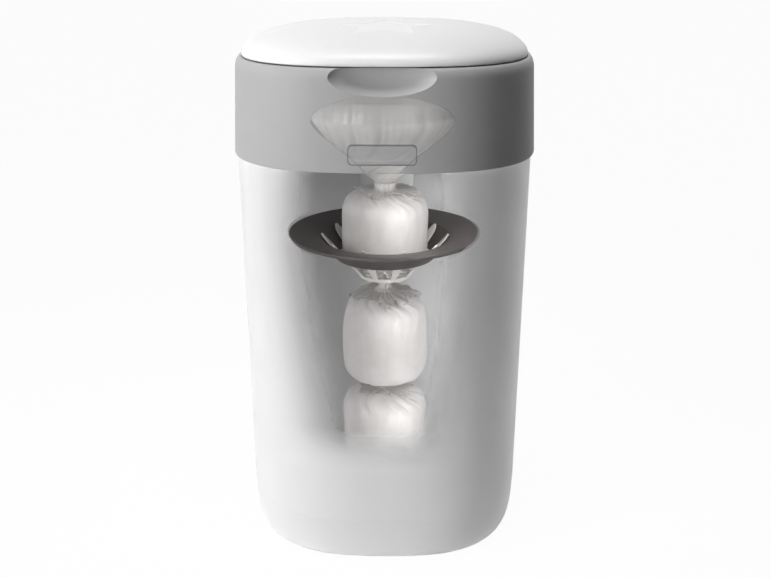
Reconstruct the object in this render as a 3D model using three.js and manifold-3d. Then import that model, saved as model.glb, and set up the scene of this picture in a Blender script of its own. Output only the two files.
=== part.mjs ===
// A nappy bin: a tall tub, a grey collar with a finger scoop, and a domed hinged lid.
// Inside the collar a dial carries a film cassette. The film hangs from it as a funnel,
// and a flange with sprung fingers grips each wrapped nappy and keeps the chain below it.
// Millimetres, +Z up, the front faces -Y, the origin is on the floor under the middle.

import * as THREE from 'three';
import { mergeVertices } from 'three/addons/utils/BufferGeometryUtils.js';
import Module from 'manifold-3d';

const wasm = await Module();
wasm.setup();

const quarterTurn = Math.PI / 2;
const fullTurn = Math.PI * 2;

// The outline seen from above is a square with bowed sides and round corners.
const planExponent = 2.77;
const planSegments = 36;
const roundSegments = 36;
const bundleSegments = 24;
const smallSegments = 8;
const crossRodSegments = 12;
const scoopSegments = 16;
const screwSegments = 6;

// The outline has a corner, and a screw for it, at each of these
const cornerCount = 4;

// Fits that every piece shares
const restGap = 0.3;
const runGap = 0.5;
const cutOver = 2;
const embed = 1;
const mergeDistance = 0.0005;

// Tub
const tubHalfWidth = 122.5;
const tubHeight = 343.6;
const tubFootHalfWidth = 119.2;
const tubFootHeight = 42.2;
const tubFootRoll = 15.9;
const tubRollExponent = 2.6;
const tubWall = 2.5;
const tubFloor = 3;
const standRingHeight = 2;
const standRingWidth = 9;
const tubRimRise = 10;
const rimGap = 0.6;

// Collar
const collarProud = 2.5;
const collarHeight = 76.8;
const collarWall = 2.5;
const collarTaper = 3;
const shoulderRoll = 4.6;
const shoulderDrop = 9.4;
const landThickness = 2.5;
const lipInset = 10.4;
const lipWall = 2.2;
const lipDepth = 10.5;
const ledgeWidth = 4;
const ledgeThickness = 2.5;
const shelfWidth = 9;
const shelfThickness = 3;

// Finger scoop in the collar's front
const scoopHalfWidth = 41;
const scoopHalfHeight = 14.4;
const scoopDepth = 11;
const scoopSink = 5.4;
const scoopWall = 2.2;

// Bare name plate in the collar's front
const plateWidth = 50.9;
const plateHeight = 14.4;
const plateCorner = 3;
const plateRise = 6.7;
const plateSink = 0.8;
const plateProud = 0.2;

// Lid
const lidStep = 0.6;
const seamGap = 1;
const domeRise = 23.1;
const domeExponent = 2.3;
const lidWall = 2.4;
const starPoints = 5;
const starRadius = 41;
const starWaistShare = 0.5;
const starTipShare = 0.16;
const starDepth = 0.6;
const starForward = 38;
const linerRise = 5;
const linerWall = 2;
const linerInset = 6;
const linerSideGap = 3;
const linerBossRadius = 3.6;
const linerScrewInset = 14;
const linerScrewHold = 6;
const sealWidth = 3.2;
const sealHeight = 1.3;

// Lid hinges
const hingeSpacing = 56;
const knuckleRadius = 3.8;
const knuckleWidth = 12;
const knuckleSink = 0.2;
const knuckleBack = 1.2;
const earWidth = 6.5;
const hingePinRadius = 1.6;
const hingeWebDepth = 3.4;
const hingePocketWall = 2;

// Deck inside the collar
const deckThickness = 3;
const deckMouthEdge = 4.8;
const deckSideGap = 0.6;
const hubWall = 2.4;
const hubRise = 5.2;
const postRadius = 3.5;
const postCount = 4;
const postTurn = quarterTurn / 4;

// Dial
const dialHeight = 23.7;
const dialClearance = 4;
const dialLipGap = 2.5;
const dialSkirtWall = 2.5;
const toothCount = 36;
const toothRoot = 4.1;
const toothDepth = 2.5;
const toothHeight = 4.5;
const toothDropShare = 0.08;
const gripCount = 12;
const gripRadius = 7;
const gripBite = 2.4;
const dialChamfer = 3;
const retainerThickness = 2.5;
const retainerEdge = 1;
const earEdge = 1.2;

// Film cassette
const cassetteInset = 18.1;
const cassetteWidth = 24.7;
const cassetteWall = 2.2;
const cassetteHeight = 19.2;
const cassetteGuideRise = 1;
const coverThickness = 1.8;
const filmSlot = 2.2;
const lugWidth = 8;
const lugReach = 2.2;
const lugHeight = 6;
const lugCount = 3;
const packTopShare = 0.76;

// Film funnel
const filmThickness = 0.6;
const filmTuck = 5;
const skirtLength = 35.5;
const funnelLength = 86.1;
const funnelNeck = 9.4;
const funnelFloor = 2.2;

// Flange that hangs under the deck
const flangeOverMouth = 20.6;
const flangeDrop = 130;
const flangeKnee = 58.1;
const flangeKneeDrop = 5;
const flangeThroat = 27;
const flangeThroatDrop = 38.7;
const flangeConeShare = 0.52;
const flangeThickness = 2.2;
const flangeEdge = 3.4;

// Bracket that carries the flange at the rear
const bracketAngle = 34 * Math.PI / 180;
const bracketWall = 2.5;
const bracketFoot = 11;
const bracketHead = 10;
const bracketScrewAngle = 9 * Math.PI / 180;

// Gripper fingers
const fingerCount = 10;
const fingerThickness = 1.6;
const fingerRootWidth = 4.4;
const fingerBroadWidth = 9.6;
const fingerTipWidth = 3;
const fingerTipInset = 0.8;
const ringRadius = 21.5;
const ringWidth = 4;
const ringHeight = 3.4;
const ringDrop = 3.4;
const tongueWidth = 3.2;
const tongueHeight = 2.2;
const tongueGap = 0.6;

// Wrapped bundles
const tailRadius = 6.6;
const tailGap = 0.4;
const tailFlare = 1.3;
const firstRadius = 38.4;
const chainRadius = 38.9;
const lastRadius = 39.5;
const chainClearance = 28.5;
const chainNeckLength = 13;
const chainSplitShare = 0.518;
const linkLength = 3;
const ballSteps = 4;
const firstBottomRise = 1;
const firstNeckDrop = 7;

// Click pawl
const pawlSetOut = 3.8;
const pawlPivotAngle = quarterTurn / 2;
const pawlReachAngle = 11 * Math.PI / 180;
const pawlEyeRadius = 3.4;
const pawlPinRadius = 1.5;
const pawlTipRadius = 1;
const pawlTipLift = 0.6;
const pawlTopGap = 0.7;
const pawlPinHead = 2.6;
const pawlPinHeadHeight = 1.2;

// Film cutter
const cutterWidth = 30;
const cutterDepth = 15;
const cutterHeight = 22;
const cutterDrop = 56.7;
const cutterSlotHeight = 3.5;
const cutterSlotDepth = 9;
const cutterMouthFlare = 3;
const bladeThickness = 0.6;
const bladeDepth = 5;
const bladeHeight = 9;

// Screws
const screwShank = 1.5;
const screwHead = 3;
const screwHeadHeight = 2;
const screwHeadDomeShare = 0.6;
const screwGrip = 7.5;

// Levels above the floor
const rimTop = tubHeight + tubRimRise;
const ledgeBottom = rimTop + restGap;
const ledgeTop = ledgeBottom + ledgeThickness;
const collarTop = tubHeight + collarHeight;
const shoulderLevel = collarTop - shoulderDrop;
const lidBottom = collarTop + seamGap;
const lidTop = lidBottom + domeRise;
const linerBottom = collarTop + linerRise;
const dialTop = linerBottom - dialClearance;
const deckTop = dialTop - dialHeight;
const deckBottom = deckTop - deckThickness;
const shelfTop = deckBottom - restGap;
const shelfBottom = shelfTop - shelfThickness;
const toothBottom = deckTop + runGap;
const toothTop = toothBottom + toothHeight;
const retainerBottom = toothTop + runGap;
const retainerTop = retainerBottom + retainerThickness;
const flangeLevel = deckBottom - flangeDrop;
const throatLevel = flangeLevel - flangeThroatDrop;
const gripLevel = throatLevel - ringDrop;

// Half widths and radii that follow each other
const collarHalfWidth = tubHalfWidth + collarProud;
const shoulderHalfWidth = collarHalfWidth - collarTaper;
const collarTopHalfWidth = shoulderHalfWidth - shoulderRoll;
const lidHalfWidth = collarTopHalfWidth - lidStep;
const lipHalfWidth = collarTopHalfWidth - lipInset;
const cassetteOuter = lipHalfWidth - cassetteInset;
const cassetteMouth = cassetteOuter - cassetteWidth;
const deckMouth = cassetteMouth + deckMouthEdge;
const dialMouth = cassetteOuter + runGap;
const hubOuter = dialMouth + hubWall;
const skirtInner = hubOuter + runGap;
const skirtOuter = skirtInner + dialSkirtWall;
const toothRootRadius = skirtOuter + toothRoot;
const toothTipRadius = toothRootRadius + toothDepth;
const retainerInner = skirtOuter + runGap;
const postCircle = toothTipRadius + restGap + postRadius + embed;
const retainerOuter = toothTipRadius + retainerEdge;
const pawlPivotRadius = postCircle + pawlSetOut;
const dialOuter = lipHalfWidth - dialLipGap;
const flangeRadius = cassetteMouth + flangeOverMouth;
const bracketInner = flangeRadius + runGap;
const bracketOuter = bracketInner + bracketWall;
const shankHole = screwShank + restGap;

// Share of its half width that the outline reaches at an angle round the middle
function planShare(angle) {
  const across = Math.abs(Math.cos(angle)) ** planExponent;
  const along = Math.abs(Math.sin(angle)) ** planExponent;
  return (across + along) ** (-1 / planExponent);
}

// Solid turned round Z from [radius, height] points that run anticlockwise
function turned(profile, segments = roundSegments) {
  const onAxis = profile[0][0] === 0;
  const closed = onAxis ? profile : [...profile, profile[0]];
  const points = closed.map(([radius, height]) => new THREE.Vector2(radius, height));
  return new THREE.LatheGeometry(points, segments).rotateX(quarterTurn);
}

// The same, with its rounds pushed out to the outline of the bin
function squared(profile) {
  const geometry = turned(profile, planSegments);
  const place = geometry.attributes.position;
  for (let i = 0; i < place.count; i += 1) {
    const share = planShare(Math.atan2(place.getY(i), place.getX(i)));
    place.setXY(i, place.getX(i) * share, place.getY(i) * share);
  }
  return geometry;
}

function ringProfile(inner, outer, bottom, top) {
  return [[inner, bottom], [outer, bottom], [outer, top], [inner, top]];
}

function rod(radius, bottom, top, segments = smallSegments) {
  const length = top - bottom;
  const geometry = new THREE.CylinderGeometry(radius, radius, length, segments);
  return geometry.rotateX(quarterTurn).translate(0, 0, bottom + length / 2);
}

// Rod along X, centred on x
function crossRod(radius, x, width, y, z, segments = crossRodSegments) {
  const geometry = new THREE.CylinderGeometry(radius, radius, width, segments);
  return geometry.rotateZ(quarterTurn).translate(x, y, z);
}

function block(low, high) {
  const size = high.map((value, i) => value - low[i]);
  const middle = high.map((value, i) => (value + low[i]) / 2);
  return new THREE.BoxGeometry(...size).translate(...middle);
}

// Flat outline in X and Y drawn up from bottom to top
function prism(shape, bottom, top, curveSegments = 4) {
  const settings = { depth: top - bottom, bevelEnabled: false, curveSegments };
  return new THREE.ExtrudeGeometry(shape, settings).translate(0, 0, bottom);
}

function polar(radius, angle) {
  return [radius * Math.cos(angle), radius * Math.sin(angle)];
}

function circle(count, start = 0) {
  return Array.from({ length: count }, (_, i) => start + i * fullTurn / count);
}

function solidOf(geometry) {
  const bare = geometry.clone();
  bare.deleteAttribute('normal');
  bare.deleteAttribute('uv');
  const merged = mergeVertices(bare, mergeDistance);
  const corners = merged.index.array;
  const kept = [];
  for (let i = 0; i < corners.length; i += 3) {
    const [a, b, c] = [corners[i], corners[i + 1], corners[i + 2]];
    if (a !== b && b !== c && c !== a) kept.push(a, b, c);
  }
  return new wasm.Manifold(new wasm.Mesh({
    numProp: 3,
    vertProperties: new Float32Array(merged.attributes.position.array),
    triVerts: new Uint32Array(kept),
  }));
}

function geometryOf(solid) {
  const mesh = solid.getMesh();
  const geometry = new THREE.BufferGeometry();
  const places = new THREE.BufferAttribute(new Float32Array(mesh.vertProperties), 3);
  geometry.setAttribute('position', places);
  geometry.setIndex(new THREE.BufferAttribute(new Uint32Array(mesh.triVerts), 1));
  return geometry;
}

function joined(base, ...pieces) {
  return pieces.reduce((solid, piece) => solid.add(solidOf(piece)), base);
}

function cut(base, ...pieces) {
  return pieces.reduce((solid, piece) => solid.subtract(solidOf(piece)), base);
}

// Materials
const finish = (color, roughness, metalness = 0) => (
  new THREE.MeshStandardMaterial({ color, roughness, metalness })
);
const whitePlastic = finish('#efefef', 0.3);
const tubPlastic = finish('#e8e8e8', 0.35);
const greyPlastic = finish('#b2b2b2', 0.4);
const darkPlastic = finish('#5a5553', 0.5);
const fingerPlastic = finish('#e6e4e1', 0.4);
const dialPlastic = finish('#d9dadb', 0.4);
const film = finish('#dad8d6', 0.35);
const wrap = finish('#e4e2e0', 0.5);
const rubber = finish('#3c3c3c', 0.8);
const steel = finish('#b9bcc0', 0.3, 1);
const acetal = finish('#f2f1ec', 0.45);

// Tub

// Rolled foot from the wall down to the bottom, or up when reversed
function footRoll(halfWidth, bottom, steps) {
  return Array.from({ length: steps + 1 }, (_, i) => {
    const turn = quarterTurn * i / steps;
    const down = Math.sin(turn) ** (2 / tubRollExponent);
    const across = Math.cos(turn) ** (2 / tubRollExponent);
    const level = bottom + (tubFootHeight - bottom) * (1 - down);
    return [halfWidth - tubFootRoll * (1 - across), level];
  });
}

const collarSlope = collarTaper / (shoulderLevel - tubHeight);

function collarOuter(level) {
  return collarHalfWidth - (level - tubHeight) * collarSlope;
}

function collarInner(level) {
  return collarOuter(level) - collarWall;
}

function rimOuter(level) {
  return collarInner(level) - rimGap;
}

function tubShell() {
  const standOuter = tubFootHalfWidth - tubFootRoll;
  const standInner = standOuter - standRingWidth;
  const floorTop = standRingHeight + tubFloor;
  const stepLevel = tubHeight - restGap;
  return squared([
    [0, standRingHeight],
    [standInner - standRingHeight, standRingHeight],
    [standInner, 0],
    ...footRoll(tubFootHalfWidth, 0, 5).reverse(),
    [tubHalfWidth, stepLevel],
    [rimOuter(stepLevel), stepLevel],
    [rimOuter(rimTop), rimTop],
    [rimOuter(rimTop) - tubWall, rimTop],
    [rimOuter(stepLevel) - tubWall, stepLevel],
    [tubHalfWidth - tubWall, stepLevel - tubWall],
    ...footRoll(tubFootHalfWidth - tubWall, floorTop, 3),
    [0, floorTop],
  ]);
}

// Collar

function shoulder(steps) {
  return Array.from({ length: steps + 1 }, (_, i) => {
    const turn = quarterTurn * i / steps;
    const inward = shoulderRoll * (1 - Math.cos(turn));
    return [shoulderHalfWidth - inward, shoulderLevel + shoulderDrop * Math.sin(turn)];
  });
}

// Filled shape inside the collar's outer face, to trim what is joined to its wall
function collarBlank() {
  return squared([
    [0, tubHeight],
    [collarHalfWidth, tubHeight],
    ...shoulder(3),
    [0, collarTop],
  ]);
}

function scoopBowl(grow) {
  const geometry = new THREE.SphereGeometry(1, scoopSegments, scoopSegments / 2);
  geometry.scale(scoopHalfWidth + grow, scoopDepth + grow, scoopHalfHeight + grow);
  return geometry.translate(0, -shoulderHalfWidth, collarTop - scoopSink);
}

const hingeY = lidHalfWidth + knuckleBack;
const hingeZ = collarTop - knuckleSink;
const hingeSides = [-hingeSpacing / 2, hingeSpacing / 2];
const earOffset = knuckleWidth / 2 + runGap + earWidth / 2;
const pinLength = knuckleWidth + 2 * (runGap + earWidth);

function hingeBore(x) {
  return crossRod(hingePinRadius + restGap, x, pinLength + cutOver, hingeY, hingeZ, smallSegments);
}

const plateBottom = tubHeight + plateRise;
const plateTop = plateBottom + plateHeight;

// Rounded rectangle in X and Z, drawn through the front wall along Y
function platePrism(grow) {
  const right = plateWidth / 2 + grow;
  const low = plateBottom - grow;
  const high = plateTop + grow;
  const corner = plateCorner + grow;
  const shape = new THREE.Shape();
  shape.moveTo(corner - right, low);
  shape.lineTo(right - corner, low);
  shape.quadraticCurveTo(right, low, right, low + corner);
  shape.lineTo(right, high - corner);
  shape.quadraticCurveTo(right, high, right - corner, high);
  shape.lineTo(corner - right, high);
  shape.quadraticCurveTo(-right, high, -right, high - corner);
  shape.lineTo(-right, low + corner);
  shape.quadraticCurveTo(-right, low, corner - right, low);
  const upright = prism(shape, 0, collarHalfWidth + cutOver, 3);
  return upright.rotateX(quarterTurn);
}

// Band of the collar's outer wall between two depths below its face
function wallBand(deep, proud) {
  const low = plateBottom - cutOver;
  const high = plateTop + cutOver;
  return squared([
    [collarOuter(low) - deep, low],
    [collarOuter(low) + proud, low],
    [collarOuter(high) + proud, high],
    [collarOuter(high) - deep, high],
  ]);
}

const cornerShare = planShare(quarterTurn / 2);
const deckScrewCircle = (shelfHalfWidth() + collarInner(shelfTop)) / 2 * cornerShare;
const diagonals = circle(cornerCount, quarterTurn / 2);

function shelfHalfWidth() {
  return collarInner(shelfTop) - shelfWidth;
}

function collar() {
  const underLand = collarTop - landThickness;
  const lipBottom = collarTop - lipDepth;
  const shell = solidOf(squared([
    [collarInner(tubHeight), tubHeight],
    [collarOuter(tubHeight), tubHeight],
    ...shoulder(3),
    [lipHalfWidth, collarTop],
    [lipHalfWidth, lipBottom],
    [lipHalfWidth + lipWall, lipBottom],
    [lipHalfWidth + lipWall, underLand],
    [collarTopHalfWidth - collarWall, underLand],
    [shoulderHalfWidth - collarWall, shoulderLevel],
    [collarInner(shelfTop), shelfTop],
    [shelfHalfWidth(), shelfTop],
    [shelfHalfWidth(), shelfBottom],
    [collarInner(shelfBottom), shelfBottom],
    [collarInner(ledgeTop), ledgeTop],
    [collarInner(ledgeTop) - ledgeWidth, ledgeTop],
    [collarInner(ledgeTop) - ledgeWidth, ledgeBottom],
    [collarInner(ledgeBottom), ledgeBottom],
  ]));
  const blank = solidOf(collarBlank());
  const lipCore = solidOf(squared([
    [0, lipBottom - scoopHalfHeight],
    [lipHalfWidth, lipBottom - scoopHalfHeight],
    [lipHalfWidth, collarTop + cutOver],
    [0, collarTop + cutOver],
  ]));
  const pockets = hingeSides.map((x) => solidOf(crossRod(
    knuckleRadius + runGap + hingePocketWall, x, knuckleWidth + 2 * hingePocketWall, hingeY, hingeZ,
  )));
  const scoopShell = solidOf(scoopBowl(scoopWall));
  let solid = [scoopShell, ...pockets].reduce(
    (sum, piece) => sum.add(piece.intersect(blank).subtract(lipCore)), shell,
  );
  const ears = hingeSides.flatMap((x) => [-earOffset, earOffset].map(
    (offset) => crossRod(knuckleRadius, x + offset, earWidth, hingeY, hingeZ),
  ));
  solid = joined(solid, ...ears);
  const rooms = hingeSides.map((x) => crossRod(
    knuckleRadius + runGap, x, knuckleWidth + 2 * runGap, hingeY, hingeZ,
  ));
  const screwHoles = diagonals.map((angle) => rod(
    shankHole, shelfBottom - cutOver, shelfTop + cutOver, smallSegments,
  ).translate(...polar(deckScrewCircle, angle), 0));
  const plateBed = solidOf(platePrism(restGap)).intersect(solidOf(wallBand(plateSink, cutOver)));
  solid = cut(solid, scoopBowl(0), ...rooms, ...hingeSides.map(hingeBore), ...screwHoles);
  return geometryOf(solid.subtract(plateBed));
}

function namePlate() {
  const band = solidOf(wallBand(plateSink - restGap, plateProud));
  return geometryOf(solidOf(platePrism(0)).intersect(band));
}

// Lid

const domeSteps = 6;

function dome(halfWidth, rise, steps) {
  return Array.from({ length: steps + 1 }, (_, i) => {
    const turn = quarterTurn * i / steps;
    const across = i === steps ? 0 : Math.cos(turn) ** (2 / domeExponent);
    return [halfWidth * across, lidBottom + rise * Math.sin(turn) ** (2 / domeExponent)];
  });
}

function domeBlank(drop) {
  return squared([[0, lidBottom], ...dome(lidHalfWidth - drop, domeRise - drop, domeSteps)]);
}

function starShape() {
  const tips = circle(starPoints * 2, quarterTurn).map((angle, i) => {
    const reach = i % 2 === 0 ? starRadius : starRadius * starWaistShare;
    const [x, y] = polar(reach, angle);
    return new THREE.Vector2(x, y - starForward);
  });
  const shape = new THREE.Shape();
  tips.forEach((corner, i) => {
    const before = tips[(i + tips.length - 1) % tips.length];
    const after = tips[(i + 1) % tips.length];
    const enter = corner.clone().lerp(before, starTipShare);
    const leave = corner.clone().lerp(after, starTipShare);
    if (i === 0) shape.moveTo(enter.x, enter.y);
    else shape.lineTo(enter.x, enter.y);
    shape.quadraticCurveTo(corner.x, corner.y, leave.x, leave.y);
  });
  shape.closePath();
  return shape;
}

const linerFloorTop = linerBottom + linerWall;
const linerHalfWidth = lipHalfWidth - linerInset;
const linerScrewCircle = (linerHalfWidth - linerScrewInset) * cornerShare;

function lidShell() {
  const inner = dome(lidHalfWidth - lidWall, domeRise - lidWall, 5).reverse();
  const shell = solidOf(squared([...inner, ...dome(lidHalfWidth, domeRise, domeSteps)]));
  const bosses = diagonals.map((angle) => solidOf(
    rod(linerBossRadius, linerFloorTop + restGap, lidTop).translate(...polar(linerScrewCircle, angle), 0),
  ));
  const keep = solidOf(domeBlank(lidWall / 2));
  const barrels = hingeSides.flatMap((x) => [
    crossRod(knuckleRadius, x, knuckleWidth, hingeY, hingeZ),
    block(
      [x - knuckleWidth / 2, hingeY - hingeWebDepth, hingeZ],
      [x + knuckleWidth / 2, hingeY, hingeZ + knuckleRadius],
    ),
  ]);
  let solid = bosses.reduce((sum, boss) => sum.add(boss.intersect(keep)), shell);
  const starCut = solidOf(prism(starShape(), lidBottom + domeRise / 2, lidTop + cutOver, 3));
  solid = solid.subtract(starCut.subtract(solidOf(domeBlank(starDepth))));
  const earRooms = hingeSides.flatMap((x) => [-earOffset, earOffset].map((offset) => crossRod(
    knuckleRadius + runGap, x + offset, earWidth + 2 * runGap, hingeY, hingeZ,
  )));
  const screwHoles = diagonals.map((angle) => rod(
    shankHole, linerFloorTop - cutOver, linerFloorTop + linerScrewHold,
  ).translate(...polar(linerScrewCircle, angle), 0));
  solid = joined(cut(solid, ...earRooms), ...barrels);
  return geometryOf(cut(solid, ...hingeSides.map(hingeBore), ...screwHoles));
}

const sealBottom = collarTop + restGap;
const sealTop = sealBottom + sealHeight;
const linerFlangeBottom = sealTop + restGap;
const linerFlangeHalfWidth = lidHalfWidth - lidWall - linerSideGap;

function lidLiner() {
  const flangeTop = linerFlangeBottom + linerWall;
  const dish = solidOf(squared([
    [0, linerBottom],
    [linerHalfWidth - linerWall, linerBottom],
    [linerHalfWidth - linerWall, linerFlangeBottom],
    [linerFlangeHalfWidth, linerFlangeBottom],
    [linerFlangeHalfWidth, flangeTop],
    [linerHalfWidth, flangeTop],
    [linerHalfWidth, linerFloorTop],
    [0, linerFloorTop],
  ]));
  const holes = diagonals.map((angle) => rod(
    shankHole, linerBottom - cutOver, linerFloorTop + cutOver,
  ).translate(...polar(linerScrewCircle, angle), 0));
  return geometryOf(cut(dish, ...holes));
}

function lidSeal() {
  const inner = lipHalfWidth + embed;
  return squared(ringProfile(inner, inner + sealWidth, sealBottom, sealTop));
}

function hingePin() {
  return crossRod(hingePinRadius, 0, pinLength, 0, 0, smallSegments);
}

// Deck

const postPlaces = circle(postCount, postTurn).map((angle) => polar(postCircle, angle));
const pawlPivot = polar(pawlPivotRadius, pawlPivotAngle);
const bracketScrewCircle = bracketOuter + bracketHead / 2;
const bracketScrews = [-bracketScrewAngle, bracketScrewAngle].map((angle) => quarterTurn + angle);

function innerDeck() {
  const halfWidth = collarInner(deckTop) - deckSideGap;
  const plate = solidOf(squared(ringProfile(0, halfWidth, deckBottom, deckTop)));
  const hub = turned(ringProfile(dialMouth, hubOuter, deckTop - embed, deckTop + hubRise));
  const posts = postPlaces.map(([x, y]) => (
    rod(postRadius, deckTop - embed, retainerBottom - restGap).translate(x, y, 0)
  ));
  const holes = [
    ...diagonals.map((angle) => polar(deckScrewCircle, angle)),
    ...bracketScrews.map((angle) => polar(bracketScrewCircle, angle)),
    pawlPivot,
    ...postPlaces,
  ].map(([x, y]) => rod(shankHole, deckBottom - cutOver, retainerBottom, screwSegments).translate(x, y, 0));
  const mouth = rod(deckMouth, deckBottom - cutOver, deckTop + cutOver, roundSegments);
  return geometryOf(cut(joined(cut(plate, mouth), hub, ...posts), ...holes));
}

function dialRetainer() {
  const ring = turned(ringProfile(retainerInner, retainerOuter, retainerBottom, retainerTop));
  const ears = postPlaces.map(([x, y]) => (
    rod(postRadius + earEdge, retainerBottom, retainerTop).translate(x, y, 0)
  ));
  const holes = postPlaces.map(([x, y]) => (
    rod(shankHole, retainerBottom - cutOver, retainerTop + cutOver).translate(x, y, 0)
  ));
  return geometryOf(cut(joined(solidOf(ring), ...ears), ...holes));
}

// Dial and cassette

const pawlTipAngle = pawlPivotAngle + pawlReachAngle;
const toothStep = fullTurn / toothCount;
const toothPhase = pawlTipAngle + toothStep * toothDropShare * 2;

// Ratchet outline whose steep sides all face the same way
function toothOutline() {
  const shape = new THREE.Shape();
  circle(toothCount, toothPhase).forEach((angle, i) => {
    const top = polar(toothTipRadius, angle);
    const root = polar(toothRootRadius, angle - toothStep * toothDropShare);
    if (i === 0) shape.moveTo(...root);
    else shape.lineTo(...root);
    shape.lineTo(...top);
  });
  shape.closePath();
  return shape;
}

const lugAngles = circle(lugCount, quarterTurn);

function lug(grow, top) {
  const half = lugWidth / 2 + grow;
  const low = top - lugHeight - grow;
  return block(
    [cassetteOuter - cassetteWall / 2, -half, low],
    [cassetteOuter + lugReach + grow, half, top],
  );
}

const cassetteBottom = deckTop + runGap;
const cassetteTop = cassetteBottom + cassetteHeight;

function twistRing() {
  const hubClear = deckTop + hubRise + runGap;
  const gripBottom = retainerTop + screwHeadHeight + restGap + runGap;
  const body = turned([
    [skirtInner, toothBottom],
    [skirtOuter, toothBottom],
    [skirtOuter, gripBottom],
    [dialOuter, gripBottom + dialChamfer],
    [dialOuter, dialTop - dialChamfer],
    [dialOuter - dialChamfer, dialTop],
    [dialMouth + dialChamfer / 2, dialTop],
    [dialMouth, dialTop - dialChamfer / 2],
    [dialMouth, hubClear],
    [skirtInner, hubClear],
  ]);
  const teeth = cut(
    solidOf(prism(toothOutline(), toothBottom, toothTop)),
    rod((skirtInner + skirtOuter) / 2, toothBottom - cutOver, toothTop + cutOver, roundSegments),
  );
  const bites = circle(gripCount, quarterTurn).map((angle) => rod(
    gripRadius, gripBottom - cutOver, dialTop + cutOver,
  ).translate(...polar(dialOuter + gripRadius - gripBite, angle), 0));
  const notches = lugAngles.map((angle) => (
    lug(runGap, cassetteTop).translate(0, 0, restGap).rotateZ(angle)
  ));
  const notchSlots = lugAngles.map((angle) => block(
    [cassetteOuter - cassetteWall / 2, -lugWidth / 2 - runGap, cassetteTop - restGap],
    [cassetteOuter + lugReach + runGap, lugWidth / 2 + runGap, dialTop + cutOver],
  ).rotateZ(angle));
  return geometryOf(cut(solidOf(body).add(teeth), ...bites, ...notches, ...notchSlots));
}

function cassetteBody() {
  const floorTop = cassetteBottom + cassetteWall;
  const guideTop = cassetteTop + cassetteGuideRise;
  const channel = turned([
    [cassetteMouth, cassetteBottom],
    [cassetteOuter, cassetteBottom],
    [cassetteOuter, cassetteTop],
    [cassetteOuter - cassetteWall, cassetteTop],
    [cassetteOuter - cassetteWall, floorTop],
    [cassetteMouth + cassetteWall, floorTop],
    [cassetteMouth + cassetteWall, guideTop],
    [cassetteMouth, guideTop],
  ]);
  const lugs = lugAngles.map((angle) => lug(0, cassetteTop).rotateZ(angle));
  return geometryOf(joined(solidOf(channel), ...lugs));
}

const slotInner = cassetteMouth + cassetteWall;

function cassetteCover() {
  const bottom = cassetteTop + restGap;
  return turned(ringProfile(slotInner + filmSlot, cassetteOuter, bottom, bottom + coverThickness));
}

function filmPack() {
  const bottom = cassetteBottom + cassetteWall + restGap;
  const top = bottom + (cassetteTop - bottom) * packTopShare;
  const outer = cassetteOuter - cassetteWall - restGap;
  return turned(ringProfile(slotInner + restGap, outer, bottom, top));
}

// Shares of the way from the skirt's end to the neck, as [across, down]
const funnelShares = [[0.44, 0.5], [0.77, 0.8], [0.95, 0.94]];
const funnelRim = deckBottom - skirtLength;
const funnelBottom = deckBottom - funnelLength;

function filmFunnel() {
  const outer = cassetteMouth - restGap;
  const inner = outer - filmThickness;
  const guideTop = cassetteTop + cassetteGuideRise + restGap;
  const tuckEnd = guideTop - filmTuck;
  const tuckOuter = slotInner + restGap;
  const drop = funnelRim - funnelBottom;
  const cone = funnelShares.map(([across, down]) => [
    outer - (outer - funnelNeck) * across, funnelRim - drop * down,
  ]);
  const within = cone.map(([radius, level]) => [radius - filmThickness, level + filmThickness]);
  return turned([
    [0, funnelBottom],
    [funnelNeck, funnelBottom],
    ...cone.slice().reverse(),
    [outer, funnelRim],
    [outer, guideTop],
    [tuckOuter, guideTop],
    [tuckOuter, tuckEnd],
    [tuckOuter + filmThickness, tuckEnd],
    [tuckOuter + filmThickness, guideTop + filmThickness],
    [inner, guideTop + filmThickness],
    [inner, funnelRim],
    ...within,
    [funnelNeck - filmThickness * 2, funnelBottom + funnelFloor],
    [0, funnelBottom + funnelFloor],
  ]);
}

// Flange, bracket and gripper

const kneeLevel = flangeLevel - flangeKneeDrop;
const rimSlope = flangeKneeDrop / (flangeRadius - flangeKnee);
const coneSlope = (kneeLevel - throatLevel) / (flangeKnee - flangeThroat);
const coneLength = Math.hypot(1, coneSlope);

function flangeTopAt(radius) {
  return flangeLevel - (flangeRadius - radius) * rimSlope;
}

function flangeUnder(radius) {
  return flangeTopAt(radius) - flangeThickness;
}

const flangeScrewCircle = bracketInner - bracketFoot / 2;

function holderFlange() {
  const away = flangeThickness * coneSlope / coneLength;
  const down = flangeThickness / coneLength;
  const coneEnd = flangeKnee - (flangeKnee - flangeThroat) * flangeConeShare;
  const coneEndLevel = kneeLevel - (kneeLevel - throatLevel) * flangeConeShare;
  const plate = solidOf(turned([
    [coneEnd, coneEndLevel],
    [coneEnd + away, coneEndLevel - down],
    [flangeKnee + away / 2, kneeLevel - flangeThickness],
    [flangeRadius - flangeThickness, flangeUnder(flangeRadius)],
    [flangeRadius - flangeThickness, flangeLevel - flangeEdge],
    [flangeRadius, flangeLevel - flangeEdge],
    [flangeRadius, flangeLevel],
    [flangeKnee, kneeLevel],
  ]));
  const holes = bracketScrews.map((angle) => rod(
    shankHole, kneeLevel - flangeThickness - cutOver, flangeLevel + cutOver,
  ).translate(...polar(flangeScrewCircle, angle), 0));
  return geometryOf(cut(plate, ...holes));
}

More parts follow.
